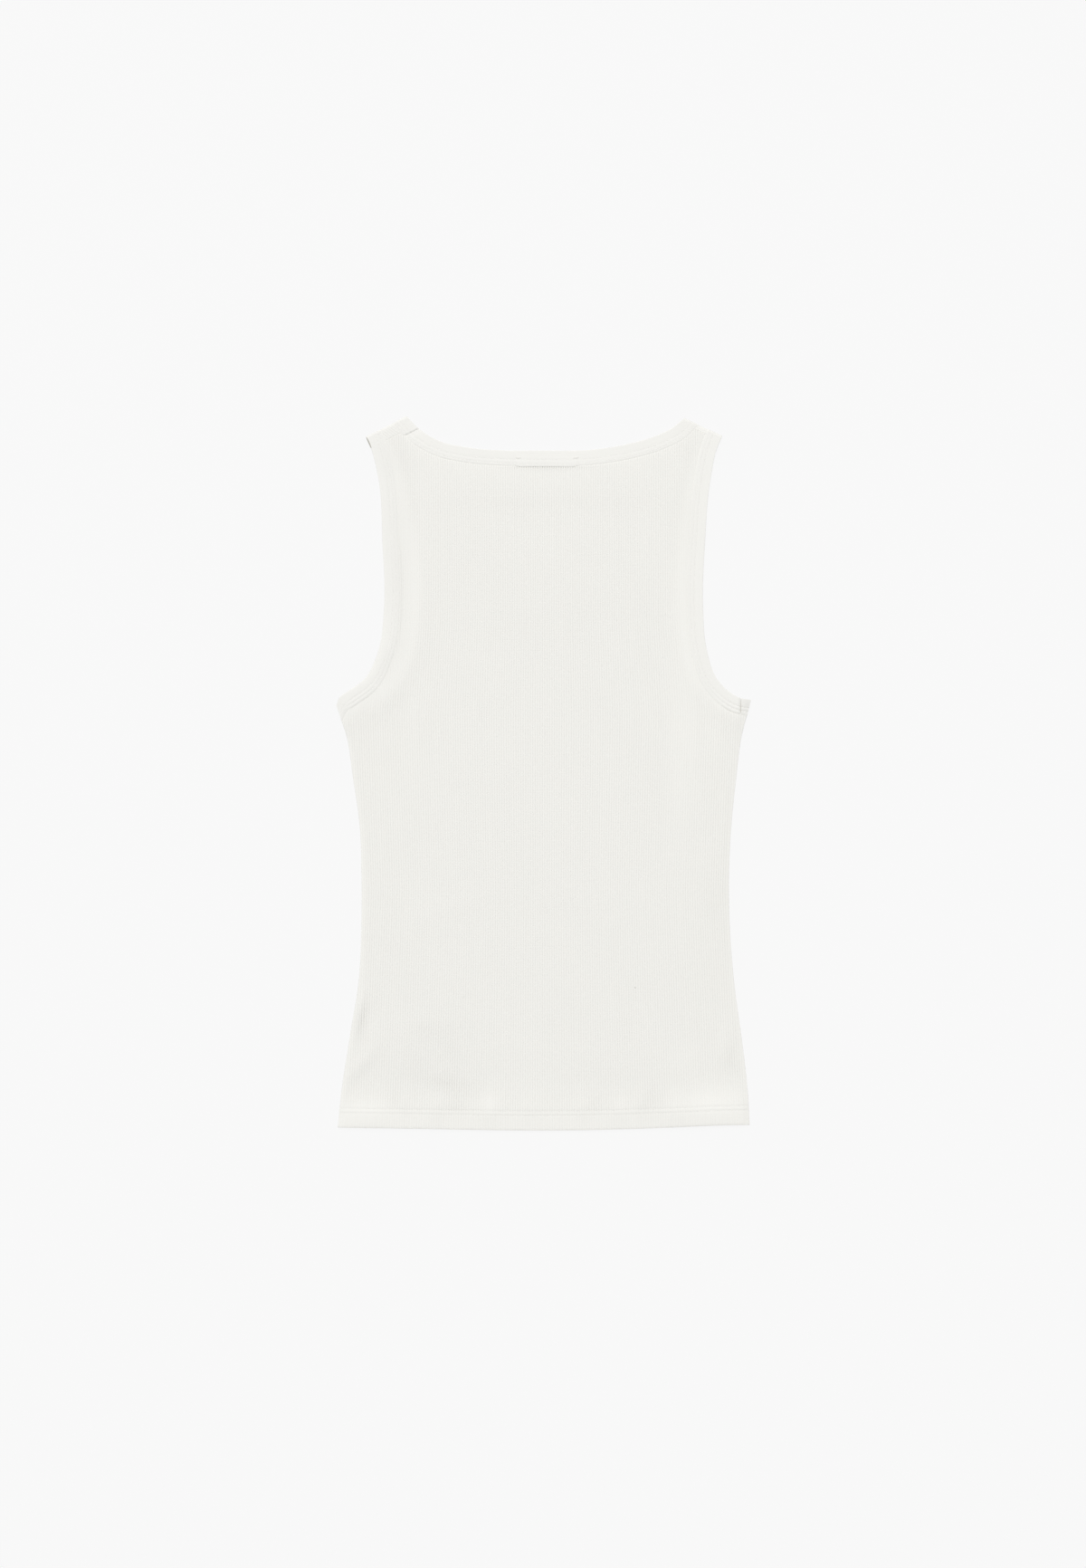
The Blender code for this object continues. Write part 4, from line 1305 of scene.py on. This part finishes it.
def make_floor():
    mesh = bpy.data.meshes.new("floor")
    corners = [(x * FLOOR_SIZE, y * FLOOR_SIZE, FLOOR_HEIGHT)
               for x, y in ((-1, -1), (1, -1), (1, 1), (-1, 1))]
    mesh.from_pydata(corners, [], [(0, 1, 2, 3)])
    nodes = Nodes("pale_floor")
    pale = GROUND_BRIGHTNESS * (1 - GROUND_GLOW)
    nodes.finish({"Base Color": (pale, pale, pale, 1), "Roughness": 1.0,
                  "Specular IOR Level": 0.0, "Emission Color": (1, 1, 1, 1),
                  "Emission Strength": GROUND_BRIGHTNESS * GROUND_GLOW})
    mesh.materials.append(nodes.material)
    floor = bpy.data.objects.new("floor", mesh)
    bpy.context.scene.collection.objects.link(floor)


def add_light(name, kind, place, strength, settings):
    """A lamp that faces the garment."""
    lamp = bpy.data.lights.new(name, kind)
    lamp.energy = strength
    for key, value in settings.items():
        setattr(lamp, key, value)
    light = bpy.data.objects.new(name, lamp)
    light.location = place
    light.rotation_euler = light.location.to_track_quat("Z", "Y").to_euler()
    bpy.context.scene.collection.objects.link(light)


def make_light():
    """Even light from all round, a soft key light from the shoulders' side, and a weak softbox
    near the left shoulder."""
    world = bpy.data.worlds.new("studio")
    world.use_nodes = True
    background = world.node_tree.nodes["Background"]
    background.inputs["Color"].default_value = (1, 1, 1, 1)
    background.inputs["Strength"].default_value = WORLD_STRENGTH
    bpy.context.scene.world = world
    for name, lamp in LAMPS.items():
        add_light(name, *lamp)


def make_camera():
    data = bpy.data.cameras.new("camera")
    data.lens = LENS
    data.sensor_width = SENSOR
    camera = bpy.data.objects.new("camera", data)
    distance = FRAME_SIZE[1] * PIXEL / 2 * LENS / (SENSOR / 2)
    camera.location = (FRAME_MIDDLE[0] * MM, FRAME_MIDDLE[1] * MM, distance * MM)
    bpy.context.scene.collection.objects.link(camera)
    bpy.context.scene.camera = camera


def declare_panel(node):
    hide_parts(node)


def declare_binding(node, parts):
    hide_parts(node)
    length = run_length(parts)[-1][-1]


def main():
    rib_knit = knit_material("rib_knit", RIB_COLOR, RIB_PAINTED_SHADE, bump=0.55)
    binding_knit = knit_material("binding_knit", BINDING_COLOR, 0.0, bump=0.45)
    thread = thread_material("sewing_thread", THREAD_COLOR)

    panels = {
        "back": (back_points, back_outer, back_inner, back_strength, back_painted_shading, ["front_cloth"]),
        "front": (front_points, front_outer, front_inner, front_strength, front_painted_shade, ["floor"]),
    }
    for name, (edge_points, *looks, rests_on) in panels.items():
        outline = panel_outline(edge_points)
        piece = make_panel(name + "_cloth", outline, panel_rows(name), *looks, rib_knit)
        declare_panel(name + "_panel")

    bindings = {"neck_binding": neck_parts()}
    for side in FOLDS:
        # Thinned here and once more below, so its points lie twice as far apart as the neck's
        bindings["armhole_binding_" + side] = [(ARMHOLE[side].thinned(STRIP_STEP), False)]
    for node, parts in bindings.items():
        parts = [(course.thinned(STRIP_STEP), is_backwards) for course, is_backwards in parts]
        piece = make_binding(node + "_cloth", parts, binding_knit)
        declare_binding(node, parts)
        stitches = make_stitches(node + "_stitches", binding_rows(parts), thread)
    colors = (SLIT_SHADOW_COLOR, UNDERARM_COLOR, TACK_COLOR, LINT_COLOR)
    seam_materials = {color: thread_material(f"thread_{number}", color)
                      for number, color in enumerate(colors)}
    for name, path, radius, color in seam_details():
        make_thread(name, path, radius, seam_materials[color])
    for name, (_, face, *_) in panels.items():
        paths = [smoothed(path, HEM_SMOOTHING) for path in hem_rows(face)]
        make_stitches("hem_stitches_" + name, paths, thread)


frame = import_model()
BODY = next(iter(frame["bodies"]))
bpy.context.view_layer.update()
make_floor()
make_light()
make_camera()
bpy.context.scene.view_settings.view_transform = "Standard"
main()
